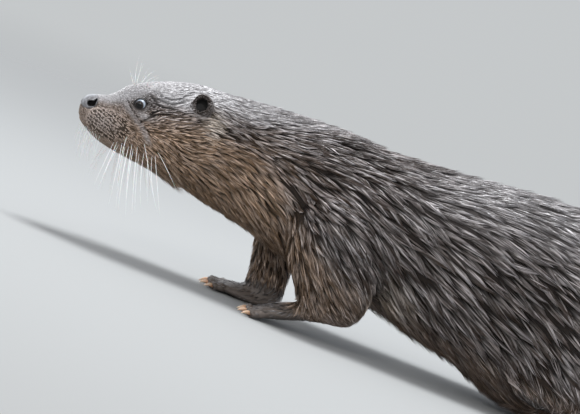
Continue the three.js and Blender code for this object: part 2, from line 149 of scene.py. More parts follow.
def formed(points, forms):
    """Moves points by each form's movement times the bell curve of the distance from its place, measured
    in spreads; the same on both sides."""
    moved = points.copy()
    side = np.sign(points[..., 1])
    for place, spread, move in forms:
        away = ((points[..., 0] - place[0]) / spread[0]) ** 2
        away = away + ((np.abs(points[..., 1]) - place[1]) / spread[1]) ** 2
        away = away + ((points[..., 2] - place[2]) / spread[2]) ** 2
        share = np.exp(-away / 2)
        moved[..., 0] += share * move[0]
        moved[..., 1] += share * move[1] * side
        moved[..., 2] += share * move[2]
    return moved


def turn_offset(way, length, tangent):
    """Sideways offset of a turn eased in over a length: the integral of a smooth step times tangent."""
    t = np.maximum(way, 0) / length
    return tangent * length * np.where(t < 1, t ** 3 - t ** 4 / 2, t - 0.5)


def turn_slope(way, length, tangent):
    """Slope of the same turn: tangent times the smooth step of the way."""
    t = np.clip(way / length, 0, 1)
    return tangent * t * t * (3 - 2 * t)


def bend(x):
    """At x along the straight body: how far the bent one lies aside, the head's share of that, and the
    angle of its middle line, the arc tangent of the two turns' slopes together."""
    ahead, behind = HEAD_TURN_START - x, x - TAIL_SWEEP_START
    head_aside = turn_offset(ahead, HEAD_TURN_LENGTH, HEAD_TURN)
    aside = turn_offset(behind, TAIL_SWEEP_LENGTH, TAIL_SWEEP) - head_aside
    slope = turn_slope(behind, TAIL_SWEEP_LENGTH, TAIL_SWEEP)
    return aside, head_aside, np.arctan(slope + turn_slope(ahead, HEAD_TURN_LENGTH, HEAD_TURN))


def bent(points):
    """The straight body's points with the head turned left and the tail swept right: each cross plane
    moves aside and turns about Z by the angle of the middle line."""
    points = np.asarray(points, float)
    x, y, z = points[..., 0], points[..., 1], points[..., 2]
    aside, head_aside, angle = bend(x)
    return np.stack([x - y * np.sin(angle), aside + y * np.cos(angle), z + HEAD_LIFT * head_aside], axis=-1)


# The row's frame lies under the middle of the animal: the left eyeball of the frame shows where.
EYE_MIDDLE = np.array([-163.4, 20.6, 129.0])
LEFT, RIGHT = np.array([1, -1, 1]), np.array([1, 1, 1])
eye_low, eye_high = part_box("eye_left")
SHIFT = np.array((eye_low + eye_high) / 2) * 1000 - bent(EYE_MIDDLE * LEFT)


def to_row(points):
    """Millimetres in the otter's frame to metres in the row's frame."""
    return (points + SHIFT) * 0.001


def from_row(points):
    """Metres in the row's frame to millimetres in the otter's frame."""
    return points * 1000 - SHIFT


def grid_faces(count, around):
    """Quads of a grid of closed rings, facing out for rings that go from +Z by way of +Y as X grows."""
    i = np.arange(count - 1)[:, None] * around
    k = np.arange(around)[None, :]
    following = (k + 1) % around
    corners = [i + k, i + around + k, i + around + following, i + following]
    return np.stack(corners, axis=-1).reshape(-1, 4)


def closed_rings(rings):
    """Points and faces of rings joined into a closed surface, with a point at the middle of each end."""
    count, around = rings.shape[:2]
    points = np.vstack([rings.reshape(-1, 3), rings[0].mean(0), rings[-1].mean(0)])
    k = np.arange(around)
    following = (k + 1) % around
    tip = count * around
    last = (count - 1) * around
    front = np.stack([np.full(around, tip), k, following], axis=-1)
    back = np.stack([np.full(around, tip + 1), last + following, last + k], axis=-1)
    return points, grid_faces(count, around).tolist() + front.tolist() + back.tolist()


def mesh_object(name, points, faces):
    """A mesh object at the origin from points in millimetres in the otter's frame."""
    mesh = bpy.data.meshes.new(name)
    mesh.from_pydata(to_row(points), [], faces)
    mesh.validate()
    mesh.polygons.foreach_set("use_smooth", np.ones(len(mesh.polygons), bool))
    piece = bpy.data.objects.new(name, mesh)
    bpy.context.collection.objects.link(piece)
    return piece


def facing_out(piece):
    """Turns a closed piece's faces round if the sum of its signed volumes is negative."""
    mesh = piece.data
    mesh.calc_loop_triangles()
    corners = np.empty(len(mesh.vertices) * 3)
    mesh.vertices.foreach_get("co", corners)
    tri = np.empty(len(mesh.loop_triangles) * 3, int)
    mesh.loop_triangles.foreach_get("vertices", tri)
    p = corners.reshape(-1, 3)[tri.reshape(-1, 3)]
    if np.einsum("ij,ij->i", p[:, 0], np.cross(p[:, 1], p[:, 2])).sum() < 0:
        mesh.flip_normals()
    return piece


# Angles round the body's rings: closer together where the eyes are, evenly spread behind the head.
AROUND = 184
EYE_ANGLE, EYE_ANGLE_SPREAD, EYE_DENSITY = math.radians(55), math.radians(20), 2.4
even = np.linspace(0, 2 * np.pi, AROUND + 1)[:-1]
fine = np.linspace(0, 2 * np.pi, 4001)
from_top = np.minimum(fine, 2 * np.pi - fine)
density = 1 + EYE_DENSITY * np.exp(-((from_top - EYE_ANGLE) / EYE_ANGLE_SPREAD) ** 2)
share = np.concatenate([[0], np.cumsum((density[1:] + density[:-1]) / 2)])
crowded = np.interp(np.arange(AROUND) / AROUND, share / share[-1], fine)

# The gap between rings, along X.
RING_GAP_X = [-205, -185, -150, -120, -60, 0, 480, 600, 860]
RING_GAP = [0.6, 0.8, 0.9, 1.4, 2.6, 3.4, 4.2, 5, 4]
middles = (BODY_SECTIONS[:, 0:2] + BODY_SECTIONS[:, 2:4]) / 2
gaps = np.maximum(np.abs(np.diff(middles[:, 0])), np.abs(np.diff(BODY_SECTIONS[:, 0])))
steps = np.interp(middles[:-1, 0], RING_GAP_X, RING_GAP)
body_rows = smooth_rows(BODY_SECTIONS, np.ceil(gaps / steps).astype(int))
head_share = np.clip((-95 - body_rows[:, 0:1]) / 30, 0, 1)
body_angles = crowded * head_share + even * (1 - head_share)
body_depth = np.interp(body_rows[:, 0], COAT_DEPTH_X, COAT_DEPTH)
straight = formed(across(body_rows, body_angles, -body_depth), BODY_FORMS)

# ------------------------------------------------------------------ face
# The face is modelled into the skin: sockets that hold the eyes, brow and lower-lid folds, the pads that
# the whiskers grow from, the groove behind them, and the closed line of the mouth.

EYE_RADIUS = 6.3
GAZE = np.array([-0.2, 0.94, 0.2]) / np.linalg.norm([-0.2, 0.94, 0.2])  # outwards, on the right side
EYE_LENGTHWAYS = np.array([1, 0, 0.36]) - GAZE * np.dot([1, 0, 0.36], GAZE)
EYE_LENGTHWAYS = EYE_LENGTHWAYS / np.linalg.norm(EYE_LENGTHWAYS)
EYE_UPWARDS = np.cross(GAZE, EYE_LENGTHWAYS) * np.sign(np.cross(GAZE, EYE_LENGTHWAYS)[2])
LID_HALF_LENGTH, LID_HALF_HEIGHT, LID_THICKNESS = 4.6, 4.4, 0.4
SOCKET_DEPTH = 3.5
NOSE_MIDDLE, NOSE_HALF = (-204.6, 115.7), (7.5, 7.7)  # X and Z in the side view


def smooth_step(v, low, high):
    """0 below low, 1 above high, with the cubic ease between."""
    t = np.clip((v - low) / (high - low), 0, 1)
    return t * t * (3 - 2 * t)


def with_sockets(points):
    """Points of the straight head's surface with an eye opening on each side. Inside the opening's ellipse
    they sink behind the eyeball; round it they lie on a sphere a lid's thickness larger than the eyeball,
    and over twice the opening's size they ease back to where they were."""
    mirrored = points * np.where(points[..., 1:2] < 0, LEFT, RIGHT)
    local = mirrored - EYE_MIDDLE
    a, b, c = local @ EYE_LENGTHWAYS, local @ EYE_UPWARDS, local @ GAZE
    size = np.sqrt((a / LID_HALF_LENGTH) ** 2 + (b / LID_HALF_HEIGHT) ** 2)
    lid = np.sqrt(np.maximum((EYE_RADIUS + LID_THICKNESS) ** 2 - a ** 2 - b ** 2, 4.0))
    hidden = EYE_RADIUS - SOCKET_DEPTH
    near = (c > -4) & (size < 3.2)
    blend = smooth_step(size, 1.1, 1.9)
    lifted = lid * (1 - blend) + c * blend
    sunk = lifted + (hidden - lifted) * smooth_step(-size, -1.06, -0.86)
    change = np.where(near, sunk - c, 0.0)
    moved = mirrored + change[..., None] * GAZE
    return moved * np.where(points[..., 1:2] < 0, LEFT, RIGHT)


def nose_oval(points):
    """Distance from the middle of the bare nose in the side view, as a share of its half sizes."""
    return np.hypot((points[..., 0] - NOSE_MIDDLE[0]) / NOSE_HALF[0],
                    (points[..., 2] - NOSE_MIDDLE[1]) / NOSE_HALF[1])


def with_nose(points):
    """Points of the head's surface drawn in behind the nose pad: inside the pad's oval in the side view
    they close on the middle plane and move back, easing out at the oval's edge."""
    share = 1 - smooth_step(nose_oval(points), 0.88, 1.06)
    moved = points.copy()
    moved[..., 1] *= 1 - 0.72 * share
    moved[..., 0] += 2.0 * share * (points[..., 0] < -200)
    return moved


def along_line(points, line, wide, tall):
    """Bell curve of the distance to a polyline in the side view: tall on it, falling off over wide."""
    best = np.full(points.shape[:-1], 1e9)
    for (x1, z1), (x2, z2) in zip(line[:-1], line[1:]):
        dx, dz = x2 - x1, z2 - z1
        t = np.clip(((points[..., 0] - x1) * dx + (points[..., 2] - z1) * dz) / (dx * dx + dz * dz), 0, 1)
        away = (points[..., 0] - x1 - t * dx) ** 2 + (points[..., 2] - z1 - t * dz) ** 2
        best = np.minimum(best, away)
    return np.exp(-best / (2 * wide ** 2)) * tall


FACE_FORMS = [
    ((-157.5, 27, 121.0), (7, 6, 2.2), (0, 1.3, 0)),  # bag under the eye
    ((-160, 28, 124.8), (7, 5, 1.1), (0, -0.9, 0)),  # crease above it
    ((-155, 29, 117.0), (8, 5, 1.2), (0, -0.9, 0)),  # crease below it
    ((-163, 21, 138.5), (8, 7, 2.0), (0, 0.8, 0.4)),  # fold of the brow
    ((-174, 19, 131), (5, 6, 2.5), (0, -0.7, 0)),  # inner corner of the eye
    ((-195, 9.5, 118.5), (6, 5, 3.5), (0, 0.5, 0.3)),  # side of the nose
    ((-190, 16, 113), (7, 6, 2.2), (0, -0.8, 0)),  # between nose and pad
    ((-206, 0, 101.5), (4, 1.2, 4), (0.9, 0, 0)),  # cleft of the upper lip
]
MOUTH_LINE = [(-209, 99.4), (-200, 98.2), (-188, 95.4), (-176, 92.6), (-163, 92.8)]
PAD_EDGE = [(-177, 129), (-171.5, 124.5), (-161.5, 117.5), (-151.5, 110.5), (-147.5, 106), (-144, 99)]
FOLD = [(-182, 130), (-174, 123), (-164, 115.5), (-154, 108.7), (-149, 104)]  # smooth fold behind the pad

# Where the wet hair of the cheek and temple parts, as lines seen from the side.
PARTINGS = [
    [(-157.1, 143.8), (-149.9, 142.6), (-142.7, 142.8), (-135.6, 146.0), (-132.1, 150.2), (-127.6, 154.5)],
    [(-153.3, 139.6), (-146.5, 139.3), (-141.3, 139.4), (-137.1, 141.7), (-132.1, 144.9), (-129.1, 147.8)],
    [(-160.4, 140.3), (-156.4, 138.3), (-150.9, 134.8), (-146.7, 134.4), (-140.1, 136.2), (-134.8, 135.8)],
    [(-154.4, 123.8), (-151.5, 128.3), (-148.2, 130.6)],
    [(-159.1, 116.0), (-153.9, 122.4), (-148.8, 126.7), (-144.6, 129.1)],
]


def partings(points):
    """1 on the partings of the head's hair, falling off as a bell curve across them."""
    return np.max([along_line(points, line, 0.7, 1.0) for line in PARTINGS], axis=0)


def grooved(points, line, wide, deep):
    """Points drawn in towards the body's middle by deep on a line seen from the side."""
    share = along_line(points, line, wide, deep)
    heart = points * np.array([1, 0, 1]) + np.array([6, 0, 0])
    heart[..., 2] = 0.5 * points[..., 2] + 0.5 * 108
    inwards = heart - points
    inwards = inwards / np.maximum(np.linalg.norm(inwards, axis=-1, keepdims=True), 1e-6)
    return points + inwards * share[..., None]


straight = formed(straight, FACE_FORMS)
straight = grooved(straight, MOUTH_LINE, 0.7, 1.1)
straight = grooved(straight, PAD_EDGE, 1.1, 1.0)
straight = with_sockets(straight)
straight = with_nose(straight)
body_rings = bent(straight)
body_rings[..., 2] = np.maximum(body_rings[..., 2], 0.4)

# ------------------------------------------------------------------ legs, paws and ears
# Short strong legs, folded at the hip and elbow under a loose skin. Each paw has five toes joined by a web;
# the near forepaw stands on its toe pads and the other three lie flat. The ears are small round cups.

# Front point (X, Z), back point (X, Z), middle Y, half width, and how deep the coat is there.
LEFT_FORELEG = np.array([
    [14, 120, 76, 120, 50, 16, 4],
    [-2, 100, 88, 98, 51, 25, 4],
    [-4, 79, 88, 77, 51, 27, 4],
    [1, 60, 86, 57, 50.5, 25, 4],
    [11, 46, 85, 42, 50, 22, 4],
    [19, 35.5, 81, 29, 49.5, 19, 3.6],
    [22.5, 29, 73, 20.5, 49, 16.5, 3],
    [22, 25.5, 54, 17, 48.5, 15, 2.2],
    [18.3, 21.9, 36.8, 11.9, 48, 14.9, 1.2],
    [11.5, 18.6, 24, 7.6, 48, 18, 0.8],
    [4, 15, 12, 3.9, 48, 21, 0.7],
    [-3.5, 10.4, 1, 2.2, 48, 21, 0.7],
    [-7, 7, -5.5, 3.4, 48, 18, 0.7],
])
RIGHT_FORELEG = np.array([
    [-12, 118, 54, 118, 48, 16, 4],
    [-30, 96, 58, 96, 49, 25, 4],
    [-33, 74, 40, 74, 48, 25, 4],
    [-30.5, 56, 20, 55, 46, 21, 3.6],
    [-26.5, 43, 14, 41, 44.5, 18.5, 3],
    [-24, 31, 13, 26, 43, 17, 2.2],
    [-22.6, 22, 14, 14, 42.5, 16, 1.4],
    [-22, 15.4, 14.2, 5.2, 42, 15.7, 0.9],
    [-24, 13.2, 13.5, 0.6, 42, 16.5, 0.7],
    [-31, 11.8, -2, -0.8, 42, 19.5, 0.7],
    [-39, 10.2, -25, -0.8, 42, 21.5, 0.7],
    [-46, 6.8, -42, 1.6, 42, 19, 0.7],
])
HINDLEG = np.array([
    [308, 156, 380, 158, 38, 14, 4.5],
    [264, 134, 400, 138, 48, 24, 4.5],
    [232, 106, 405, 112, 53.5, 28, 4.5],
    [215, 80, 398, 88, 55.5, 29, 4.5],
    [209, 58, 388, 66, 56, 27, 4.2],
    [211, 40, 383, 50, 56, 24, 4],
    [222, 25, 386, 40, 56, 21, 3.2],
    [252, 17.5, 387, 31, 56, 18, 2.2],
])
HIND_FOOT = np.array([
    [384, 20, 384, 9, 57, 8, 0.8],
    [380, 29.5, 381, -0.8, 57, 13.5, 0.9],
    [352, 29, 353, -0.9, 57, 16.5, 0.9],
    [325, 22, 326, -0.9, 58, 21, 0.9],
    [300, 15.6, 301, -0.8, 59, 26, 0.8],
    [284, 11.2, 284, -0.6, 60, 28.5, 0.7],
    [274, 7, 274, 1.4, 60, 30, 0.6],
    [265, 4.6, 265, 1.8, 60, 29, 0.4],
])
LIMB_AROUND = 56


def limb_piece(name, rows, side, step):
    """A leg's or foot's closed surface: rings between its front and back points, less the coat's depth."""
    splits = np.ceil(np.maximum(np.linalg.norm(np.diff(rows[:, 0:2], axis=0), axis=1),
                                np.linalg.norm(np.diff(rows[:, 2:4], axis=0), axis=1)) / step).astype(int)
    finer = smooth_rows(rows, splits)
    shape = np.column_stack([finer[:, 0:4], finer[:, 5], np.full(len(finer), 0.5), np.full(len(finer), 2.2)])
    theta = np.linspace(0, 2 * np.pi, LIMB_AROUND + 1)[:-1] + np.zeros((len(finer), 1))
    rings = across(shape, theta, -finer[:, 6])
    rings[..., 1] += side * finer[:, 4:5]
    rings[..., 2] = np.maximum(rings[..., 2], 0.25)
    return facing_out(mesh_object(name, *closed_rings(rings)))


def tapered(path, around=16, step=1.2):
    """A closed tube round a path of [x, y, z, half width, half height] rows smoothed by Catmull-Rom: each
    ring is an ellipse square to the path, its width level."""
    path = np.asarray(path, float)
    splits = np.ceil(np.linalg.norm(np.diff(path[:, :3], axis=0), axis=1) / step).astype(int)
    finer = smooth_rows(path, np.maximum(splits, 2))
    along = np.gradient(finer[:, :3], axis=0)
    along = along / np.linalg.norm(along, axis=1)[:, None]
    side = np.cross([0, 0, 1], along)
    side = side / np.linalg.norm(side, axis=1)[:, None]
    up = np.cross(along, side)
    angle = np.linspace(0, 2 * np.pi, around + 1)[:-1]
    rings = finer[:, None, :3] + side[:, None] * (finer[:, 3:4] * np.cos(angle))[..., None]
    return closed_rings(rings + up[:, None] * (finer[:, 4:5] * np.sin(angle))[..., None])


# Toes from the inner to the outer one: share of the full length, and turn outwards in degrees.
FORE_TOES = [(0.66, -20), (0.92, -9), (1, 0), (0.94, 10), (0.74, 21)]
HIND_TOES = [(0.78, -13), (0.92, -6), (1, 0), (1, 6), (0.88, 13)]
PAWS = {
    "forepaw_left": (-1, FORE_TOES, (2, 48, 6.6), 15.5, 8.6, (5.2, 4.6, 2.9), 6.5),
    "forepaw_right": (1, FORE_TOES, (-38, 42, 5.4), 15.5, 8.6, (5.2, 4.6, 2.9), 6.5),
    "hindpaw_left": (-1, HIND_TOES, (282, 60, 6), 31, 11.4, (5.6, 4.9, 4.1), 7),
    "hindpaw_right": (1, HIND_TOES, (282, 60, 6), 31, 11.4, (5.6, 4.9, 4.1), 7),
}


def toe_lines(paw):
    """For each toe: its start, its direction ahead, its reach, and the paw's toe sizes and claw length."""
    side, toes, base, length, spacing, sizes, claw = PAWS[paw]
    lines = []
    for i, (share, turn) in enumerate(toes):
        start = np.array([base[0], side * (base[1] + (i - 2) * spacing), 0])
        ahead = np.array([-math.cos(math.radians(turn)), side * math.sin(math.radians(turn)), 0])
        lines.append((start, ahead, length * share, base[2], sizes, claw))
    return lines


def toe_path(start, ahead, reach, base, sizes):
    """Rows of a toe: low at the web, a knuckle in the middle, a rounded end over its pad."""
    wide, high, lift = sizes
    rows = [(-0.45, base, 0.7, 0.7), (-0.1, base, 0.9, 0.92),
            (0.3, base * 0.55 + lift * 0.45 + 1.0, 0.98, 0.98), (0.62, lift + 0.5, 0.9, 0.9),
            (0.86, lift + 0.15, 0.92, 0.94), (0.97, lift + 0.1, 0.72, 0.74), (1.0, lift, 0.4, 0.4)]
    return [[*(start + ahead * way * reach)[:2], max(z, 0.25 + high * h), wide * w, high * h]
            for way, z, w, h in rows]


EAR_MIDDLE = np.array([-117, 36.5, 149.6])
EAR_RADIUS = 9.2
EAR_FACES = np.array([-0.34, 0.9, 0.26]) / np.linalg.norm([-0.34, 0.9, 0.26])
# From the back of the cup over its rim to its floor: share of the ear's radius, and distance outwards.
EAR_PROFILE = np.array([
    [0.02, -8], [0.34, -7.8], [0.6, -7.0], [0.8, -5], [0.92, -2.4], [0.98, 0.0], [0.98, 1.6],
    [0.94, 2.6], [0.87, 3.1], [0.79, 3.0], [0.71, 2.2], [0.65, 0.6], [0.58, -1.8], [0.44, -3.9],
    [0.24, -5.0], [0.02, -5.4],
])


def ear_axes(side):
    """The way back, the way up and the way out of the ear's round cup."""
    faces = EAR_FACES * np.array([1, side, 1])
    back = np.cross(faces, [0, 0, side])
    back = back / np.linalg.norm(back) * np.sign(back[0])
    up = np.cross(back, faces)
    return back, up / np.linalg.norm(up) * np.sign(up[2]), faces


def ear_points(side):
    """The ear's cup: its profile turned round the way it faces, fuller above and behind, where the rim
    also stands further out."""
    finer = smooth_rows(EAR_PROFILE, [2] * (len(EAR_PROFILE) - 1))
    angle = np.linspace(0, 2 * np.pi, 49)[:-1]
    back, up, faces = ear_axes(side)
    leaf = 0.98 + 0.06 * np.cos(angle - 0.7) + 0.06 * np.cos(2 * angle) + 0.03 * np.cos(3 * angle + 0.4)
    r = (finer[:, 0:1] * EAR_RADIUS * leaf)[..., None]
    stand = np.clip((finer[:, 1:2] + 4) / 7, 0, 1) * (2.2 * np.cos(angle - 0.7) - 1.5)
    h = (finer[:, 1:2] + stand)[..., None]
    flat = r * np.cos(angle)[:, None] * back + r * np.sin(angle)[:, None] * up + h * faces
    return flat + bent(EAR_MIDDLE * np.array([1, side, 1]))


body = facing_out(mesh_object("skin", *closed_rings(body_rings)))
parts = [
    limb_piece("foreleg_l", LEFT_FORELEG, -1, 2.6),
    limb_piece("foreleg_r", RIGHT_FORELEG, 1, 2.6),
    limb_piece("hindleg_l", HINDLEG, -1, 3.6),
    limb_piece("hindleg_r", HINDLEG, 1, 3.6),
    limb_piece("foot_l", HIND_FOOT, -1, 2.2),
    limb_piece("foot_r", HIND_FOOT, 1, 2.2),
]
for paw in PAWS:
    for i, (*toe, _) in enumerate(toe_lines(paw)):
        parts.append(facing_out(mesh_object(f"toe_{paw}_{i}", *tapered(toe_path(*toe)))))
for side in (-1, 1):
    parts.append(facing_out(mesh_object(f"ear_{side}", *closed_rings(ear_points(side)))))


def joined(base, others):
    """The base with the others' closed surfaces united to it; the others are removed."""
    for other in others:
        fuse = base.modifiers.new("fuse", "BOOLEAN")
        fuse.operation = "UNION"
        fuse.solver = "MANIFOLD"
        fuse.object = other
    evaluated = base.evaluated_get(bpy.context.evaluated_depsgraph_get())
    whole = bpy.data.meshes.new_from_object(evaluated)
    base.modifiers.clear()
    old = base.data
    base.data = whole
    bpy.data.meshes.remove(old)
    for other in others:
        mesh = other.data
        bpy.data.objects.remove(other)
        bpy.data.meshes.remove(mesh)


joined(body, parts)


def vertex_points(mesh):
    """The mesh's vertices as an array."""
    points = np.empty(len(mesh.vertices) * 3)
    mesh.vertices.foreach_get("co", points)
    return points.reshape(-1, 3)


def edge_ends(mesh):
    """The two vertices of each edge as an array."""
    ends = np.empty(len(mesh.edges) * 2, int)
    mesh.edges.foreach_get("vertices", ends)
    return ends.reshape(-1, 2)


def spread_out(values, ends, count, times):
    """Each value shared with its neighbours along the edges, times over: the mean of itself and them."""
    degree = np.bincount(ends.ravel(), minlength=count)
    for _ in range(times):
        near = np.bincount(ends[:, 0], values[ends[:, 1]], count)
        near = near + np.bincount(ends[:, 1], values[ends[:, 0]], count)
        values = 0.5 * values + 0.5 * near / np.maximum(degree, 1)
    return values


CREASE_COSINE = 0.8
CREASE_AHEAD_LIMIT, CREASE_LOW_LIMIT = -135.0, 3.0  # the face and the soles keep their corners


def softened(piece, times):
    """Rounds off the corners where limbs and ears meet the body: vertices near an edge whose two faces
    turn by more than the crease's angle move towards the mean of their neighbours, the nearer the more."""
    mesh = piece.data
    points = vertex_points(mesh)
    ends = edge_ends(mesh)
    count = len(points)
    loop_edge = np.empty(len(mesh.loops), int)
    mesh.loops.foreach_get("edge_index", loop_edge)
    sizes = np.empty(len(mesh.polygons), int)
    mesh.polygons.foreach_get("loop_total", sizes)
    normals = np.empty(len(mesh.polygons) * 3)
    mesh.polygons.foreach_get("normal", normals)
    normals = normals.reshape(-1, 3)
    face_of_loop = np.repeat(np.arange(len(sizes)), sizes)
    both = face_of_loop[np.argsort(loop_edge, kind="stable")].reshape(-1, 2)
    cosine = np.einsum("ij,ij->i", normals[both[:, 0]], normals[both[:, 1]])
    sharp = np.zeros(count)
    sharp[ends[cosine < CREASE_COSINE].ravel()] = 1
    ahead = points[:, 0] * 1000 - SHIFT[0]
    low = points[:, 2] * 1000
    sharp[(ahead < CREASE_AHEAD_LIMIT) | (low < CREASE_LOW_LIMIT)] = 0
    weight = np.clip(spread_out(sharp, ends, count, 10) * 4, 0, 1)
    degree = np.bincount(ends.ravel(), minlength=count)[:, None]
    for _ in range(times):
        near = np.stack([np.bincount(ends[:, 0], points[ends[:, 1], k], count)
                         + np.bincount(ends[:, 1], points[ends[:, 0], k], count) for k in range(3)], axis=-1)
        points = points + (near / degree - points) * 0.6 * weight[:, None]
    mesh.vertices.foreach_set("co", points.ravel())
    mesh.update()


softened(body, 40)
body.data.polygons.foreach_set("use_smooth", np.ones(len(body.data.polygons), bool))
FLESH = ["head", "lower_jaw", "neck", "trunk", "tail_root", "tail_end", "ear_left", "ear_right"]
FLESH += [f"{limb}{part}_{side}" for limb in ("fore", "hind")
          for part in ("leg", "paw") for side in ("left", "right")]
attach(body, "root")
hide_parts(*FLESH)

# ------------------------------------------------------------------ markings, painted sheen and skin
# A wet Eurasian otter is dark brown above and paler and warmer on the cheeks, throat, chest and belly.
# The crown, the bridge of the nose, the folds and pads of the face and the top of the back are painted
# grey, a painted sheen of the sky on the wet fur. The paws are bare, grey-brown skin.


def unbent(points):
    """The straight body's points for points of the bent one, by closing in on the turn's place."""
    x = points[:, 0].copy()
    for _ in range(5):
        aside, head_aside, angle = bend(x)
        y = (points[:, 1] - aside) / np.cos(angle)
        x = points[:, 0] + y * np.sin(angle)
    return np.stack([x, y, points[:, 2] - HEAD_LIFT * head_aside], axis=-1)


def spot(points, place, spread):
    """1 at a place, falling off as a bell curve over its spread on each axis; the same on both sides."""
    x, y, z = points[:, 0] - place[0], np.abs(points[:, 1]) - place[1], points[:, 2] - place[2]
    return np.exp(-((x / spread[0]) ** 2 + (y / spread[1]) ** 2 + (z / spread[2]) ** 2) / 2)


# In the side view: the lower edge of the grey crown, and the line of the back.
CROWN_X, CROWN_Z = [-210, -188, -178, -165, -120, -60, 0], [113, 118, 124, 133, 139, 150, 168]
BACK_X = [0, 45, 130, 250, 350, 440, 512, 604, 860]
BACK_Z = [172, 170, 178, 188, 178, 137, 91, 51, 10]


def markings_and_sheen(points):
    """Shares of pale tan, cream and grey at points of the straight body, as the three channels. The grey is
    a painted sheen of the sky on the wet fur; it is cut in a narrow band just above the eye. Behind the ear
    the pale and grey shares are cut as painted shade.
    """
    x, z = points[:, 0], points[:, 2]
    under = smooth_step(-z + np.interp(x, [-210, -150, -100, -40, 40, 200, 400, 860],
                                       [118, 120, 132, 116, 66, 38, 40, 14]), -14, 14)
    pale = under * np.interp(x, [-210, -150, -60, 20, 60, 450, 860], [0.75, 1, 1, 0.7, 0.45, 0.4, 0.15])
    pale = np.clip(pale + 0.5 * spot(points, (-70, 40, 120), (40, 30, 16)), 0, 1)
    # Painted shade behind the ear: the pale share is cut there.
    pale = pale * (1 - 0.75 * spot(points, (-90, 40, 138), (13, 16, 8)))
    cream = 1.1 * spot(points, (-105, 40, 136), (6, 12, 7)) + 0.9 * spot(points, (95, 60, 56), (10, 14, 12))
    cream += 0.35 * spot(points, (-160, 0, 82), (40, 14, 6))
    # The grey share is painted sheen of the sky: on the crown, the face's folds and pads, and the back.
    grey = smooth_step(z - np.interp(x, CROWN_X, CROWN_Z), -4, 6)
    grey = grey * np.interp(x, [-120, -40, 30], [1, 0.6, 0.25])
    grey = np.maximum(grey, 0.9 * spot(points, (-158, 26, 121), (6.5, 9, 3.2)))
    grey = np.maximum(grey, 0.75 * along_line(points, FOLD, 2.1, 1.0))
    below_back = z - np.interp(x, BACK_X, BACK_Z)
    # Painted sheen along the top of the back.
    grey = np.maximum(grey, 0.62 * smooth_step(below_back, -70, -8) * smooth_step(x, 40, 130))
    grey = np.maximum(grey, 0.6 * spot(points, (-188, 18, 104), (16, 14, 9)))
    grey = grey * (1 - 0.6 * spot(points, (-157, 24, 138.5), (4.5, 9, 2.2)))
    # Painted shade behind the ear: the grey share is cut there.
    grey = grey * (1 - 0.85 * spot(points, (-94, 38, 142), (14, 16, 9)))
    return np.stack([pale, np.clip(cream, 0, 1), np.clip(grey, 0, 1)], axis=-1)


PAD_X, PAD_HALF_LENGTH = -184, 19


def pad_oval(points, level=103, half_height=12.5):
    """Distance from the middle of the whisker pad in the side view, as a share of its half sizes."""
    return np.hypot((points[:, 0] - PAD_X) / PAD_HALF_LENGTH, (points[:, 2] - level) / half_height)


def pad_dots(points):
    """1 at the dark roots in rows on the whisker pads, 0 between: bell curves round the points of a slanted
    brick pattern in the side view, inside an oval."""
    slant = math.radians(-17)
    x, z = points[:, 0], points[:, 2]
    row = (z * math.cos(slant) - x * math.sin(slant)) / 2.6
    line = np.round(row)
    along = (x * math.cos(slant) + z * math.sin(slant)) / 2.7 + 0.5 * (line % 2) + 0.15 * np.sin(line * 2.3)
    away = np.hypot(row - line, along - np.round(along)) * 2.6
    return np.exp(-away ** 2) * (1 - smooth_step(pad_oval(points), 0.85, 1.05))


def colour_attribute(mesh, name, values):
    """A float colour on each vertex, from three or four channels or one value for all three."""
    if values.ndim == 1:
        values = np.column_stack([values] * 3)
    rgba = np.ones((len(mesh.vertices), 4))
    rgba[:, :values.shape[1]] = values
    mesh.attributes.new(name, "FLOAT_COLOR", "POINT").data.foreach_set("color", rgba.ravel())


def wrapped(points, target, height=0.0):
    """The nearest points of a target's surface to points in metres, at a height above it."""
    mesh = bpy.data.meshes.new("feelers")
    mesh.vertices.add(len(points))
    mesh.vertices.foreach_set("co", np.asarray(points).ravel())
    feelers = bpy.data.objects.new("feelers", mesh)
    bpy.context.collection.objects.link(feelers)
    wrap = feelers.modifiers.new("wrap", "SHRINKWRAP")
    wrap.target = target
    wrap.wrap_method = "NEAREST_SURFACEPOINT"
    wrap.wrap_mode = "ABOVE_SURFACE"
    wrap.offset = height
    found = vertex_points(feelers.evaluated_get(bpy.context.evaluated_depsgraph_get()).to_mesh())
    bpy.data.objects.remove(feelers)
    bpy.data.meshes.remove(mesh)
    return found


def outward(points, target):
    """Unit normals of a target's surface under points in metres, and the surface points."""
    foot = wrapped(points, target)
    above = wrapped(foot, target, 0.001)
    normal = above - foot
    return foot, normal / np.maximum(np.linalg.norm(normal, axis=1, keepdims=True), 1e-9)


trunk_only = mesh_object("trunk_only", *closed_rings(body_rings))
skin_points = vertex_points(body.data)
off_trunk = np.linalg.norm(wrapped(skin_points, trunk_only) - skin_points, axis=1) * 1000
bpy.data.objects.remove(trunk_only)
skin_mm = from_row(skin_points)
skin_straight = unbent(skin_mm)


def bareness(points, off):
    """Share of bare skin on the paws: on the limbs, from the wrist or heel down to the toes."""
    x, z = points[:, 0], points[:, 2]
    fore = smooth_step(-(z - np.interp(x, [-50, 10, 30, 80], [24, 26, 20, 8])), -3, 4) * (x < 100)
    hind = smooth_step(-(x - 330), -25, 25) * smooth_step(-z, -34, -26) * (x > 200)
    return np.clip(fore + hind, 0, 1) * smooth_step(off, 0.3, 1.2) * (x > -60)


skin_marks = markings_and_sheen(skin_straight)
skin_bare = bareness(skin_straight, off_trunk)


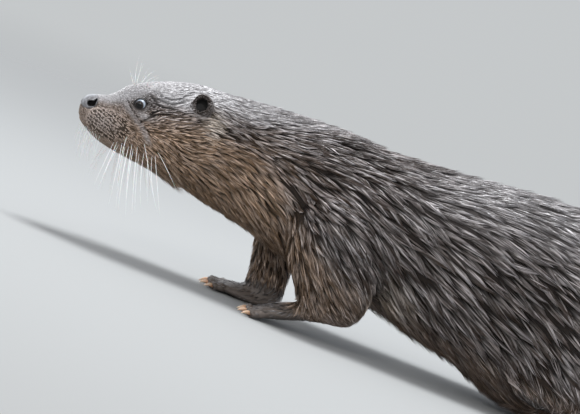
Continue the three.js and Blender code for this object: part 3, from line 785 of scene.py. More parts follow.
def ear_hollow(points, side, low=0.58, high=0.76):
    """1 in the hollow of an ear, for points in the otter's frame: by the distance from the cup's axis, as a
    share of the ear's radius, easing out from low to high."""
    back, up, faces = ear_axes(side)
    local = points - bent(EAR_MIDDLE * np.array([1, side, 1]))
    away = np.hypot(local @ back, local @ up) / EAR_RADIUS
    return (1 - smooth_step(away, low, high)) * (np.abs(local @ faces) < 9)


hollow = np.maximum(ear_hollow(skin_mm, -1), ear_hollow(skin_mm, 1))
by_ear = (np.abs(skin_straight[:, 0] - EAR_MIDDLE[0]) < 13) & (skin_straight[:, 2] > 130)
rim_share = smooth_step(off_trunk, 0.5, 1.5) * by_ear
skin_marks[:, 2] = np.where(rim_share > 0.3, 0.12, skin_marks[:, 2])



def eye_opening(points):
    """How far points of the straight head lie above the middle of the eye and out from it, and how far from
    it in the plane of the lids, as a share of the opening's half sizes."""
    local = points * np.where(points[:, 1:2] < 0, LEFT, RIGHT) - EYE_MIDDLE
    up = local @ EYE_UPWARDS
    return up, local @ GAZE, np.hypot(local @ EYE_LENGTHWAYS / LID_HALF_LENGTH, up / LID_HALF_HEIGHT)


# Darkened places: painted shade in the hollow of the ear, along the line of the mouth, in the groove
# behind the pad and in the partings of the hair; also the whisker pad with its dark roots, and the upper
# lid's dark line.
EYE_SIDE_LIMIT = -6  # farther in than this, a point belongs to the other side of the head
roots_dark = pad_dots(skin_straight)
seam = along_line(skin_straight, MOUTH_LINE, 0.8, 1.0) * (np.abs(skin_straight[:, 1]) > 3)
crease = along_line(skin_straight, PAD_EDGE, 0.8, 1.0)
above_eye, out_of_eye, lid_size = eye_opening(skin_straight)
by_eye = out_of_eye > EYE_SIDE_LIMIT
upper_lid = by_eye * np.exp(-((lid_size - 1.2) / 0.2) ** 2) * smooth_step(above_eye, -2.0, 1.0)
lower_lid = by_eye * np.exp(-((lid_size - 1.5) / 0.4) ** 2) * smooth_step(-above_eye, -1.0, 1.5)
pad_skin = 1 - smooth_step(pad_oval(skin_straight), 0.85, 1.05)
hidden = np.maximum(np.maximum(hollow, 0.95 * roots_dark), np.maximum(0.4 * seam, 0.85 * crease))
hidden = np.maximum(hidden, np.maximum(0.5 * pad_skin, 0.9 * partings(skin_straight)))
hidden = np.clip(np.maximum(hidden, 0.9 * upper_lid), 0, 1)
colour_attribute(body.data, "hidden", hidden)
# The lower lid gets the grey of the painted sheen.
skin_marks[:, 2] = np.maximum(skin_marks[:, 2], 0.95 * lower_lid)
colour_attribute(body.data, "marks", np.column_stack([skin_marks, skin_bare]))

# Coordinates along and across the lie of the hair, for fine streaks: along runs over 9 mm, across over one.
lie = math.radians(-20)
combed_along = (skin_straight[:, 0] * math.cos(lie) + skin_straight[:, 2] * math.sin(lie)) / 9
combed_across = skin_straight[:, 2] * math.cos(lie) - skin_straight[:, 0] * math.sin(lie)
colour_attribute(body.data, "comb", np.column_stack([combed_along, combed_across, skin_straight[:, 1]]))


def linked(tree, socket, value):
    """Feeds a socket from another one, or sets it to a plain number or a colour of three channels."""
    if isinstance(value, bpy.types.NodeSocket):
        tree.links.new(value, socket)
    else:
        socket.default_value = (*value, 1) if isinstance(value, tuple) else value


def mixed(tree, share, one, other):
    """A mix of two colours; each of share, one and other is a socket or a plain value."""
    mix = tree.nodes.new("ShaderNodeMix")
    mix.data_type = "RGBA"
    for label, value in (("Factor", share), ("A", one), ("B", other)):
        linked(tree, mix.inputs[label], value)
    return mix.outputs["Result"]


def calculated(tree, operation, *values):
    """A math node on sockets or plain numbers."""
    node = tree.nodes.new("ShaderNodeMath")
    node.operation = operation
    for socket, value in zip(node.inputs, values):
        linked(tree, socket, value)
    return node.outputs[0]


def channels(tree, colour):
    """The red, green and blue of a colour."""
    split = tree.nodes.new("ShaderNodeSeparateColor")
    tree.links.new(colour, split.inputs[0])
    return split.outputs


def scaled(tree, colour, amount):
    """A colour times an amount."""
    node = tree.nodes.new("ShaderNodeVectorMath")
    node.operation = "SCALE"
    tree.links.new(colour, node.inputs[0])
    tree.links.new(amount, node.inputs["Scale"])
    return node.outputs[0]


def noise(tree, place, scale, detail):
    """Soft noise from 0 to 1 at a place."""
    node = tree.nodes.new("ShaderNodeTexNoise")
    node.inputs["Scale"].default_value = scale
    node.inputs["Detail"].default_value = detail
    tree.links.new(place, node.inputs["Vector"])
    return node.outputs["Fac"]


def bumped(tree, shader, height, strength, distance, inwards=False):
    """Raises or sinks a shader's surface by a height."""
    bump = tree.nodes.new("ShaderNodeBump")
    bump.invert = inwards
    bump.inputs["Strength"].default_value = strength
    bump.inputs["Distance"].default_value = distance
    tree.links.new(height, bump.inputs["Height"])
    tree.links.new(bump.outputs["Normal"], shader.inputs["Normal"])


def painted(name, **values):
    """A material with values set on its shader's own sockets."""
    material = bpy.data.materials.new(name)
    material.use_nodes = True
    shader = material.node_tree.nodes["Principled BSDF"]
    for label, value in values.items():
        shader.inputs[label.replace("_", " ")].default_value = value
    return material, material.node_tree, shader


def attribute(tree, name):
    """An attribute of the mesh."""
    node = tree.nodes.new("ShaderNodeAttribute")
    node.attribute_name = name
    return node


# The otter's markings and painted sheen as a colour, from the shares kept on the skin and on every tuft
# alike.
DARK_BROWN = (0.088, 0.050, 0.031)
PALE_TAN = (0.47, 0.285, 0.155)
CREAM = (0.55, 0.44, 0.33)
# Grey of the painted sheen of the sky on the wet fur.
SHEEN_GREY = (0.38, 0.36, 0.36)
PAW_SKIN = (0.10, 0.080, 0.068)
marks_group = bpy.data.node_groups.new("Otter markings", "ShaderNodeTree")
for label, way, kind in (("Marks", "INPUT", "NodeSocketColor"), ("Bare", "INPUT", "NodeSocketFloat"),
                         ("Colour", "OUTPUT", "NodeSocketColor")):
    marks_group.interface.new_socket(label, in_out=way, socket_type=kind)
given = marks_group.nodes.new("NodeGroupInput")
shares = channels(marks_group, given.outputs["Marks"])
tone = mixed(marks_group, shares["Red"], DARK_BROWN, PALE_TAN)
tone = mixed(marks_group, shares["Blue"], tone, SHEEN_GREY)
tone = mixed(marks_group, shares["Green"], tone, CREAM)
tone = mixed(marks_group, given.outputs["Bare"], tone, PAW_SKIN)
marks_group.links.new(tone, marks_group.nodes.new("NodeGroupOutput").inputs["Colour"])


def marked_colour(tree):
    """The markings and painted sheen of the piece: their colour, their shares, and the share of bare skin.
    """
    marks = attribute(tree, "marks")
    group = tree.nodes.new("ShaderNodeGroup")
    group.node_tree = marks_group
    tree.links.new(marks.outputs["Color"], group.inputs["Marks"])
    tree.links.new(marks.outputs["Alpha"], group.inputs["Bare"])
    return group.outputs["Colour"], channels(tree, marks.outputs["Color"]), marks.outputs["Alpha"]


# Under the coat the skin shows dark wet underfur in streaks that follow the hair, kept near black as
# painted shade in the gaps between the locks; on the paws it is bare and wrinkled.
skin_paint, tree, shader = painted("skin", Specular_IOR_Level=0.25)
colour, shares, bare = marked_colour(tree)
streaks = noise(tree, attribute(tree, "comb").outputs["Vector"], 1.0, 2)
grain = noise(tree, tree.nodes.new("ShaderNodeTexCoord").outputs["Object"], 900, 3)
# Dark underfur, partly painted shade between the locks; lighter where grey sheen is painted and on bare
# skin.
under = calculated(tree, "MULTIPLY_ADD", streaks, 0.5, -0.14)
under = calculated(tree, "MAXIMUM", under, calculated(tree, "MULTIPLY", shares["Blue"], 0.75))
under = calculated(tree, "MAXIMUM", under, bare)
# The hidden share darkens the skin: mostly painted shade in the ear, the creases and the partings.
unshaded = calculated(tree, "MULTIPLY_ADD", attribute(tree, "hidden").outputs["Fac"], -0.9, 1.0)
under = calculated(tree, "MULTIPLY", under, unshaded)
tree.links.new(scaled(tree, colour, under), shader.inputs["Base Color"])
tree.links.new(calculated(tree, "MULTIPLY_ADD", bare, -0.3, 0.75), shader.inputs["Roughness"])
bumped(tree, shader, calculated(tree, "MULTIPLY_ADD", grain, 0.3, streaks), 0.5, 0.0008)
body.data.materials.clear()
body.data.materials.append(skin_paint)

# ------------------------------------------------------------------ eyes and lids
# Small wet eyes that bulge a little: a black pupil in a dark brown iris under a clear surface, with a pale
# ring round it that is a painted reflection of the sky. Each sits in a thin black rim of bare lid with a
# tear corner in front.

EYE_TURNED = {side: bent(EYE_MIDDLE * np.array([1, side, 1])) for side in (-1, 1)}
HEAD_ANGLE = math.atan(HEAD_TURN)
CORNEA_BULGE, CORNEA_SPREAD = 0.45, 0.62


def eye_axes(side):
    """The eye's way along the head, upwards and outwards, turned with the head."""
    turn = np.array([[math.cos(HEAD_ANGLE), -math.sin(HEAD_ANGLE), 0],
                     [math.sin(HEAD_ANGLE), math.cos(HEAD_ANGLE), 0], [0, 0, 1]])
    flip = np.array([1, side, 1])
    return [turn @ (axis * flip) for axis in (EYE_LENGTHWAYS, EYE_UPWARDS, GAZE)]


def eyeball(side):
    """A ball turned round the way the lids face, swollen by a bell curve over the cornea. The angle from the
    otter's look, ahead and down, is kept as an attribute for the pupil and iris."""
    long, up, out = eye_axes(side)
    polar = np.linspace(0.0, np.pi, 41)[1:-1, None]
    angle = np.linspace(0, 2 * np.pi, 65)[:-1]
    r = EYE_RADIUS + CORNEA_BULGE * np.exp(-(polar / CORNEA_SPREAD) ** 2)
    ring = (r * np.sin(polar))[..., None] * (np.cos(angle)[:, None] * long + np.sin(angle)[:, None] * up)
    rings = EYE_TURNED[side] + ring + (r * np.cos(polar))[..., None] * out
    name = "eyeball_left" if side < 0 else "eyeball_right"
    ball = facing_out(mesh_object(name, *closed_rings(rings)))
    away = from_row(vertex_points(ball.data)) - EYE_TURNED[side]
    look = out - 0.22 * long - 0.24 * up
    cosine = (away @ look) / np.linalg.norm(away, axis=1) / np.linalg.norm(look)
    colour_attribute(ball.data, "gaze", np.arccos(np.clip(cosine, -1, 1)))
    return ball


def lid_rim(side):
    """A thin ring round the eye opening: a small ellipse carried round the opening's edge, which lies on a
    ball just larger than the eye, with a pinch to a point at the tear corner in front."""
    long, up, out = eye_axes(side)
    t = np.linspace(0, 2 * np.pi, 97)[:-1]
    a = (LID_HALF_LENGTH + 0.1) * np.cos(t) - 1.3 * np.exp(-((np.abs(t - np.pi) / 0.3) ** 2))
    b = (LID_HALF_HEIGHT + 0.1) * np.sin(t) - 0.5 * np.exp(-((np.abs(t - np.pi) / 0.4) ** 2))
    c = np.sqrt(np.maximum((EYE_RADIUS + 0.35) ** 2 - a ** 2 - b ** 2, 1))
    line = a[:, None] * long + b[:, None] * up + c[:, None] * out
    ahead = np.roll(line, -1, axis=0) - np.roll(line, 1, axis=0)
    ahead = ahead / np.linalg.norm(ahead, axis=1)[:, None]
    lift = line / np.linalg.norm(line, axis=1)[:, None]
    side_way = np.cross(ahead, lift)
    s = np.linspace(0, 2 * np.pi, 11)[:-1]
    thick = (0.34 + 0.22 * np.clip(np.sin(t), 0, 1) + 0.16 * np.clip(-np.cos(t), 0, 1))[:, None, None]
    ring = line[:, None] + thick * (np.cos(s)[None, :, None] * side_way[:, None] * 1.1
                                    + np.sin(s)[None, :, None] * lift[:, None] * 0.9)
    rows, around = ring.shape[:2]
    i, k = np.meshgrid(np.arange(rows), np.arange(around), indexing="ij")
    here, ahead = i * around, (i + 1) % rows * around
    beside = (k + 1) % around
    faces = np.stack([here + k, ahead + k, ahead + beside, here + beside], axis=-1).reshape(-1, 4)
    name = "eyelid_left" if side < 0 else "eyelid_right"
    return facing_out(mesh_object(name, (EYE_TURNED[side] + ring).reshape(-1, 3), faces.tolist()))


def eased(tree, value, low, high, kind="SMOOTHSTEP"):
    """0 where a value is below low and 1 above high, with a smooth step or a line between."""
    node = tree.nodes.new("ShaderNodeMapRange")
    node.interpolation_type = kind
    node.inputs["From Min"].default_value = low
    node.inputs["From Max"].default_value = high
    tree.links.new(value, node.inputs["Value"])
    return node.outputs["Result"]


# The pale blue-grey ring round the iris is a painted reflection of the sky on the wet eye.
PUPIL_BLACK, IRIS_BROWN, RING_REFLECTION = (0.0015, 0.0015, 0.0015), (0.014, 0.007, 0.004), (0.26, 0.29, 0.33)
eye_paint, tree, shader = painted("eye", Roughness=0.09, Specular_IOR_Level=0.3)
gaze = attribute(tree, "gaze").outputs["Fac"]
inner = mixed(tree, eased(tree, gaze, 0.34, 0.44), PUPIL_BLACK, IRIS_BROWN)
tree.links.new(mixed(tree, eased(tree, gaze, 0.56, 0.72), inner, RING_REFLECTION), shader.inputs["Base Color"])
lid_paint, tree, shader = painted("eyelid", Base_Color=(0.010, 0.008, 0.008, 1), Roughness=0.45,
                                  Specular_IOR_Level=0.35)
for side, word in ((-1, "left"), (1, "right")):
    ball = eyeball(side)
    ball.data.materials.append(eye_paint)
    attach(ball, "root")
    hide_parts(f"eye_{word}")
    rim = lid_rim(side)
    rim.data.materials.append(lid_paint)
    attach(rim, "root")

# ------------------------------------------------------------------ nose
# The bare nose is a rounded, moist, pebbled pad. Each nostril is a deep comma: round below in front, with a
# slit that curls up behind, and a shallow groove parts the pad below.

NOSE_SECTIONS = np.array([
    [-209.7, 110.8, -209.7, 106.6, 3.0, 0.5, 2],
    [-209.2, 113.4, -209.3, 104.4, 6.2, 0.5, 2.1],
    [-208.0, 116.2, -208.2, 102.7, 8.8, 0.5, 2.2],
    [-205.8, 118.6, -206.2, 102.0, 10.9, 0.5, 2.3],
    [-202.8, 120.3, -203.4, 102.6, 12.2, 0.52, 2.3],
    [-199.4, 121.4, -200.2, 105.0, 12.6, 0.52, 2.3],
    [-196.2, 121.9, -197.0, 108.6, 11.8, 0.5, 2.2],
    [-193.4, 121.6, -194.0, 112.0, 9.6, 0.5, 2],
    [-191.4, 120.0, -191.8, 115.0, 5.0, 0.5, 2],
])
NOSTRIL_LINE = [(-203.0, 113.2), (-201.0, 113.9), (-199.7, 116.2), (-198.9, 118.6)]
NOSTRIL_HALF = [2.5, 2.5, 1.3, 0.6]
NOSE_HEART, NOSE_TUCK = np.array([-199.0, 0, 113.0]), 0.15
NOSTRIL_DEPTH = 5.0

nose_rows = smooth_rows(NOSE_SECTIONS, [8, 10, 14, 18, 20, 16, 10, 6])
theta = np.linspace(0, 2 * np.pi, 221)[:-1] + np.zeros((len(nose_rows), 1))
pad = across(nose_rows, theta, np.zeros(len(nose_rows)))
near_pit = np.zeros(pad.shape[:2])
tuck = smooth_step(nose_oval(pad), 0.94, 1.2)
for i, r1 in enumerate(NOSTRIL_HALF[:-1]):
    (x1, z1), (x2, z2) = NOSTRIL_LINE[i:i + 2]
    dx, dz, widening = x2 - x1, z2 - z1, NOSTRIL_HALF[i + 1] - r1
    t = np.clip(((pad[..., 0] - x1) * dx + (pad[..., 2] - z1) * dz) / (dx ** 2 + dz ** 2), 0, 1)
    away = np.hypot(pad[..., 0] - x1 - t * dx, pad[..., 2] - z1 - t * dz) / (r1 + widening * t)
    near_pit = np.maximum(near_pit, 1 - smooth_step(away, 0.75, 1.12))
    rim = np.exp(-((away - 1.45) / 0.3) ** 2) * (np.abs(pad[..., 1]) > 4)
    pad[..., 1] += np.sign(pad[..., 1]) * rim * 0.12
near_pit = near_pit * (np.abs(pad[..., 1]) > 4)
pad[..., 1] -= np.sign(pad[..., 1]) * near_pit * NOSTRIL_DEPTH
pad[..., 0] += near_pit * 0.8
cleft = np.exp(-(pad[..., 1] / 0.7) ** 2) * smooth_step(-pad[..., 2], -109, -104) * (pad[..., 0] < -200)
pad[..., 0] += cleft * 0.9
pad = pad + (NOSE_HEART - pad) * NOSE_TUCK * tuck[..., None]
nose = facing_out(mesh_object("nose_pad", *closed_rings(bent(pad))))
colour_attribute(nose.data, "pit", np.append(near_pit.ravel(), [0, 0]))

nose_paint, tree, shader = painted("nose", Specular_IOR_Level=0.4, Coat_Roughness=0.25)
pit = attribute(tree, "pit").outputs["Fac"]
place = tree.nodes.new("ShaderNodeTexCoord").outputs["Object"]
mottled = eased(tree, noise(tree, place, 420, 3), 0.38, 0.62, "LINEAR")
grey = mixed(tree, mottled, (0.080, 0.074, 0.076), (0.190, 0.185, 0.190))
# Inside the nostrils the pad is painted near black: painted shade in their depth.
tree.links.new(mixed(tree, pit, grey, (0.003, 0.002, 0.002)), shader.inputs["Base Color"])
tree.links.new(calculated(tree, "MULTIPLY_ADD", pit, 0.6, 0.4), shader.inputs["Roughness"])
tree.links.new(calculated(tree, "MULTIPLY_ADD", pit, -0.6, 0.6), shader.inputs["Coat Weight"])
pebbles = tree.nodes.new("ShaderNodeTexVoronoi")
pebbles.inputs["Scale"].default_value = 1100
tree.links.new(place, pebbles.inputs["Vector"])
bumped(tree, shader, pebbles.outputs["Distance"], 0.8, 0.0005, inwards=True)
nose.data.materials.append(nose_paint)
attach(nose, "root")
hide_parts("nose")

# ------------------------------------------------------------------ claws
# Short blunt claws of translucent horn, flattened from side to side, bent down and paler to the point. Each
# grows out of the end of its toe.


# Share of the claw's length, height above its middle, half width and half height.
CLAW_SHAPE = [(-0.3, 0.35, 1.5, 1.7), (0, 0.3, 1.6, 1.85), (0.3, 0.1, 1.35, 1.6), (0.6, -0.5, 0.95, 1.2),
              (0.85, -1.35, 0.5, 0.65), (1.0, -2.1, 0.14, 0.2)]


def claw_rows(line):
    """Rows of a claw's path from inside the toe's end out to its point, bending down."""
    start, ahead, reach, _, (_, _, lift), length = line
    rows = []
    for share, drop, w, h in CLAW_SHAPE:
        place = start + ahead * (reach + 0.2 + share * length)
        rows.append([place[0], place[1], max(lift + 0.6 + drop, h + 0.05), w, h])
    return rows


claw_paint, tree, shader = painted("claw", Roughness=0.34, Subsurface_Weight=0.15, Subsurface_Scale=0.002)
horn = mixed(tree, attribute(tree, "tip").outputs["Fac"], (0.34, 0.17, 0.085), (0.62, 0.46, 0.33))
tree.links.new(horn, shader.inputs["Base Color"])
for paw in PAWS:
    points, faces, tips = [], [], []
    count = 0
    for line in toe_lines(paw):
        piece_points, piece_faces = tapered(claw_rows(line), around=14, step=0.5)
        points.append(piece_points)
        faces += [[v + count for v in face] for face in piece_faces]
        count += len(piece_points)
        way = (piece_points - line[0]) @ line[1]
        tips.append((way - line[2]) / line[5])
    claw = facing_out(mesh_object(paw.replace("paw", "claws"), np.vstack(points), faces))
    colour_attribute(claw.data, "tip", np.clip(np.concatenate(tips), 0, 1))
    claw.data.materials.append(claw_paint)
    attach(claw, "root")
    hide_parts(*[f"{paw.replace('paw', 'claw')}_{i}" for i in range(1, 6)])

# ------------------------------------------------------------------ whiskers
# Stiff white whiskers grow in rows from the pads and the chin and droop when wet; short ones stand over the
# eyes. Each is a thin tapering wire rooted in the skin.

# Root and tip in the straight body's frame (X, Y to the side, Z), and thickness at the root.
WHISKERS = np.array([
    [-202.5, 8, 94.5, -201.0, 12, 76.0, 0.32],
    [-201.0, 9, 94.0, -199.5, 13, 70.0, 0.34],
    [-199.5, 10, 93.5, -194.9, 15, 73.6, 0.34],
    [-198.0, 11, 94.5, -196.5, 16, 65.0, 0.34],
    [-195.0, 13, 93.5, -192.0, 19, 60.5, 0.36],
    [-192.5, 14, 93.0, -190.0, 20, 72.5, 0.32],
    [-189.5, 15, 92.0, -187.5, 23, 76.5, 0.32],
    [-196.5, 12, 92.5, -192.5, 17, 70.5, 0.34],
    [-194.0, 13, 91.5, -188.4, 19, 67.6, 0.36],
    [-191.0, 15, 91.0, -186.5, 22, 68.0, 0.36],
    [-188.0, 16, 90.0, -181.7, 23, 64.2, 0.38],
    [-186.0, 18, 91.0, -183.5, 27, 70.5, 0.34],
    [-173.0, 21, 90.5, -176.0, 46, 52.5, 0.42],
    [-170.5, 22, 92.5, -172.5, 50, 48.5, 0.44],
    [-168.5, 23, 90.0, -170.5, 44, 55.0, 0.40],
    [-166.5, 24, 93.0, -160.5, 52, 44.0, 0.46],
    [-163.0, 24, 90.5, -153.0, 50, 40.5, 0.48],
    [-160.3, 25, 92.5, -149.7, 54, 42.1, 0.50],
    [-158.5, 26, 95.5, -147.0, 58, 47.0, 0.46],
    [-156.0, 26, 92.0, -145.1, 54, 38.7, 0.50],
    [-153.5, 27, 95.0, -141.5, 60, 44.5, 0.46],
    [-150.0, 27, 90.0, -137.7, 52, 45.3, 0.44],
    [-146.5, 28, 92.5, -135.0, 56, 50.0, 0.44],
    [-142.0, 29, 90.5, -129.9, 55, 55.4, 0.46],
    [-139.5, 30, 93.0, -121.0, 58, 52.0, 0.48],
    [-137.5, 31, 95.0, -115.9, 60, 52.1, 0.48],
    [-137.2, 32, 98.5, -114.1, 60, 77.5, 0.44],
    [-150.0, 29, 101.0, -128.0, 62, 66.0, 0.42],
    [-165.0, 26, 100.0, -158.0, 60, 60.0, 0.42],
    [-171.7, 13.5, 142.0, -175.8, 20, 165.3, 0.26],
    [-170.0, 15.0, 142.6, -168.8, 23, 162.0, 0.24],
    [-172.8, 12.5, 141.0, -179.1, 20, 152.9, 0.24],
    [-166.0, 17.0, 143.5, -157.5, 26, 158.5, 0.24],
    [-163.0, 18.5, 144.5, -152.0, 27, 156.5, 0.22],
])
WHISKER_STEPS, WHISKER_AROUND = 22, 6


def whisker_mesh(rows, side, rng):
    """Tapering wires from root to tip, bulged outwards by 2 s (1 - s) of their length at the share s of
    the way. Tip and bulge differ a little at random, and the radius falls with the root of 1 - s."""
    strays = rng.normal(0, 1.3, (len(rows), 3))
    rows = rows + np.column_stack([np.zeros((len(rows), 3)), strays, np.zeros(len(rows))])
    s = np.linspace(0, 1, WHISKER_STEPS)[None, :, None]
    root, tip = rows[:, None, 0:3], rows[:, None, 3:6]
    length = np.linalg.norm(tip - root, axis=-1, keepdims=True)
    bulge = np.array([-0.05, 0.25, 0.02]) + rng.normal(0, 0.03, (len(rows), 1, 3))
    line = root + (tip - root) * s + 4 * s * (1 - s) * length * bulge * 0.5
    line = line * np.array([1, side, 1])
    along = np.gradient(line, axis=1)
    along = along / np.linalg.norm(along, axis=-1, keepdims=True)
    a = np.cross(along, [0.3, 0.9, 0.2])
    a = a / np.linalg.norm(a, axis=-1, keepdims=True)
    b = np.cross(along, a)
    r = rows[:, None, 6:7] / 2 * np.sqrt(np.maximum(1 - s, 0.02))
    angle = np.linspace(0, 2 * np.pi, WHISKER_AROUND + 1)[:-1][None, None, :, None]
    ring = line[:, :, None] + r[:, :, None] * (np.cos(angle) * a[:, :, None] + np.sin(angle) * b[:, :, None])
    points = bent(ring.reshape(len(rows), -1, 3))
    faces = grid_faces(WHISKER_STEPS, WHISKER_AROUND)
    cap = np.arange(WHISKER_AROUND)
    last = (WHISKER_STEPS - 1) * WHISKER_AROUND
    every = []
    for i in range(len(rows)):
        base = i * WHISKER_STEPS * WHISKER_AROUND
        every += (faces + base).tolist() + [(cap + base).tolist(), (cap[::-1] + base + last).tolist()]
    return points.reshape(-1, 3), every


whisker_paint, tree, shader = painted("whisker", Base_Color=(0.78, 0.77, 0.75, 1), Roughness=0.3,
                                      Subsurface_Weight=0.2, Subsurface_Scale=0.001)
for side, word in ((-1, "left"), (1, "right")):
    wires = whisker_mesh(WHISKERS, side, np.random.default_rng(5))
    piece = facing_out(mesh_object(f"whiskers_{word}", *wires))
    piece.data.materials.append(whisker_paint)
    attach(piece, "root")

# ------------------------------------------------------------------ coat
# The wet coat is guard hair drawn together into thin pointed locks that lie along the body, over darker
# underfur. It is smallest on the face and feet and longest on the flanks and rump. Each tuft is a closed,
# three-sided blade; neighbours lean together into the point of a lock.

# Along X: how close the tufts stand, their length and width, and the width of a lock at the root.
COAT_X = [-206, -190, -165, -140, -110, -70, -20, 50, 120, 400, 470, 600, 860]
COAT_DENSITY = [1.7, 1.6, 1.35, 1.0, 0.80, 0.62, 0.46, 0.36, 0.30, 0.28, 0.28, 0.26, 0.28]
COAT_LENGTH = [1.9, 2.3, 4.0, 7.0, 10.5, 14.5, 19, 24, 26, 26, 20, 15, 9]
COAT_WIDTH = [0.42, 0.46, 0.54, 0.60, 0.66, 0.74, 0.84, 0.94, 1.0, 1.0, 1.0, 0.95, 0.85]
COAT_LOCK = [0.8, 0.9, 1.2, 1.7, 2.3, 3.1, 4.1, 5.0, 5.6, 5.6, 5.2, 4.6, 3.4]
MOST_TUFTS = 143000
LIMB_Z = [0, 10, 25, 60, 110]
LIMB_SCALE = [0.24, 0.28, 0.5, 0.8, 1.0]

# How the hair lies: place (X, distance to the side, Z), slope in the side view in degrees (0 runs to the
# tail, -90 straight down) and how far it runs outwards.
COMBED = np.array([
    [-203, 6, 106, -60, 0.5], [-196, 10, 118, 12, 0.4], [-188, 8, 125, 25, 0.25], [-190, 19, 104, -18, 0.5],
    [-176, 24, 103, -26, 0.35], [-190, 14, 92, -62, 0.3], [-176, 20, 90, -60, 0.3],
    [-160, 25, 87, -50, 0.2], [-180, 8, 90, -40, 0.2], [-174, 24, 119, -20, 0.2],
    [-160, 14, 148, 14, 0.12], [-143, 30, 151, 16, 0.1], [-125, 30, 159, 14, 0.1], [-153, 28, 85, -28, 0.2],
    [-163, 27, 140, 20, 0.2], [-150, 31, 128, 4, 0.1], [-150, 31, 111, -22, 0.1], [-137, 34, 135, -2, 0.0],
    [-137, 34, 121, 12, 0.0], [-128, 36, 104, -22, 0.0], [-102, 40, 152, -22, 0.0], [-81, 38, 160, -6, 0.0],
    [-112, 40, 128, 12, 0.0], [-106, 41, 112, 8, 0.0], [-92, 42, 130, 4, 0.0], [-72, 44, 146, -15, 0.0],
    [-52, 44, 153, 8, 0.0], [-59, 24, 168, 16, 0.05], [-30, 38, 162, 18, 0.0], [0, 28, 172, 18, 0.0],
    [-118, 30, 88, -26, 0.0], [-96, 38, 94, -20, 0.0], [-66, 45, 128, -13, 0.0], [-59, 46, 112, -18, 0.0],
    [-93, 30, 76, -38, 0.0], [-60, 40, 80, -28, 0.0], [-36, 48, 106, -23, 0.0], [-20, 50, 142, -6, 0.0],
    [5, 54, 152, -2, 0.0], [-14, 52, 124, -20, 0.0], [-5, 54, 92, -26, 0.0], [32, 46, 166, -15, 0.0],
    [40, 58, 148, -22, 0.0], [74, 50, 164, -14, 0.0], [98, 42, 170, 12, 0.0], [118, 52, 160, 8, 0.0],
    [40, 60, 122, -24, 0.0], [85, 62, 142, -16, 0.0], [125, 62, 148, -4, 0.0], [160, 58, 166, -8, 0.0],
    [200, 52, 180, -18, 0.0], [18, 58, 88, -38, 0.0], [52, 62, 100, -36, 0.0], [80, 64, 116, -25, 0.0],
    [112, 66, 127, -21, 0.0], [150, 70, 140, -12, 0.0], [205, 72, 152, -14, 0.0], [5, 58, 65, -48, 0.0],
    [36, 62, 72, -42, 0.0], [62, 62, 84, -36, 0.0], [100, 66, 103, -23, 0.0], [150, 70, 118, -17, 0.0],
    [12, 60, 48, -78, 0.0], [33, 60, 54, -50, 0.0], [60, 60, 46, -40, 0.0], [77, 62, 60, -46, 0.0],
    [88, 64, 78, -32, 0.0], [144, 70, 98, -20, 0.0], [212, 73, 120, -20, 0.0], [104, 60, 48, -34, 0.0],
    [125, 62, 60, -34, 0.0], [176, 68, 79, -23, 0.0], [235, 73, 98, -24, 0.0], [125, 56, 38, -42, 0.0],
    [160, 60, 50, -27, 0.0], [205, 62, 50, -31, 0.0], [251, 66, 54, -32, 0.0], [201, 46, 15, -26, 0.0],
    [-11, 42, 37, -75, 0.0], [-15, 44, 62, -60, 0.0], [260, 20, 184, 0, 0.1], [300, 66, 120, -26, 0.0],
    [300, 66, 50, -48, 0.0], [380, 50, 150, -28, 0.0], [430, 40, 110, -26, 0.0], [370, 60, 60, -50, 0.0],
    [480, 30, 80, -20, 0.0], [600, 20, 30, -8, 0.0], [800, 8, 12, -3, 0.0], [700, 4, 32, -4, 0.0],
    [5, 48, 10, -160, 0.0], [-35, 42, 8, -160, 0.0], [300, 58, 14, -165, 0.0], [265, 60, 6, -165, 0.0],
    [385, 57, 18, -95, 0.0], [330, 57, 22, -130, 0.0], [150, 0, 25, -6, 0.0], [100, 0, 40, -8, 0.0],
    [0, 0, 50, -20, 0.0], [300, 0, 8, 0, 0.0], [-120, 0, 78, -12, 0.0], [-180, 0, 86, -20, 0.0],
])

# The hair beside a parting lies along it, this far to the side.
PARTING_SIDE = 31
beside = [((x1 + x2) / 2, PARTING_SIDE, (z1 + z2) / 2, math.degrees(math.atan2(z2 - z1, x2 - x1)), 0.0)
          for line in PARTINGS for (x1, z1), (x2, z2) in zip(line[:-1], line[1:])]
COMBED = np.vstack([COMBED, beside])


COMB_REACH = 80


def lie_of_hair(points):
    """Direction of the hair at points of the straight body: the mean of the combed directions, each
    weighted by 1 / (squared distance + COMB_REACH) squared."""
    slope = np.radians(COMBED[:, 3])
    combed = np.stack([np.cos(slope), COMBED[:, 4], np.sin(slope)], axis=-1)
    side = np.where(points[:, 1] < 0, -1.0, 1.0)
    flat = points.copy()
    flat[:, 1] = np.abs(flat[:, 1])
    gap = ((flat[:, None] - COMBED[None, :, :3]) * np.array([1, 0.7, 1])) ** 2
    weight = 1 / (gap.sum(-1) + COMB_REACH) ** 2
    way = weight @ combed / weight.sum(1, keepdims=True)
    way[:, 1] *= side
    return way / np.linalg.norm(way, axis=1, keepdims=True)


WAVES, WAVE_GAIN = 7, 1.9


def waves(points, size, rng):
    """A soft random number, mostly from -1 to 1, that changes over a size: the mean of sines along random
    directions times a gain."""
    total = np.zeros(len(points))
    for _ in range(WAVES):
        way = rng.normal(size=3)
        way = way / np.linalg.norm(way) * rng.uniform(0.7, 1.5) / size
        total += np.sin(2 * np.pi * (points @ way) + rng.uniform(0, 2 * np.pi))
    return total / WAVES * WAVE_GAIN


def unit(v):
    """Vectors divided by their lengths."""
    return v / np.maximum(np.linalg.norm(v, axis=-1, keepdims=True), 1e-9)


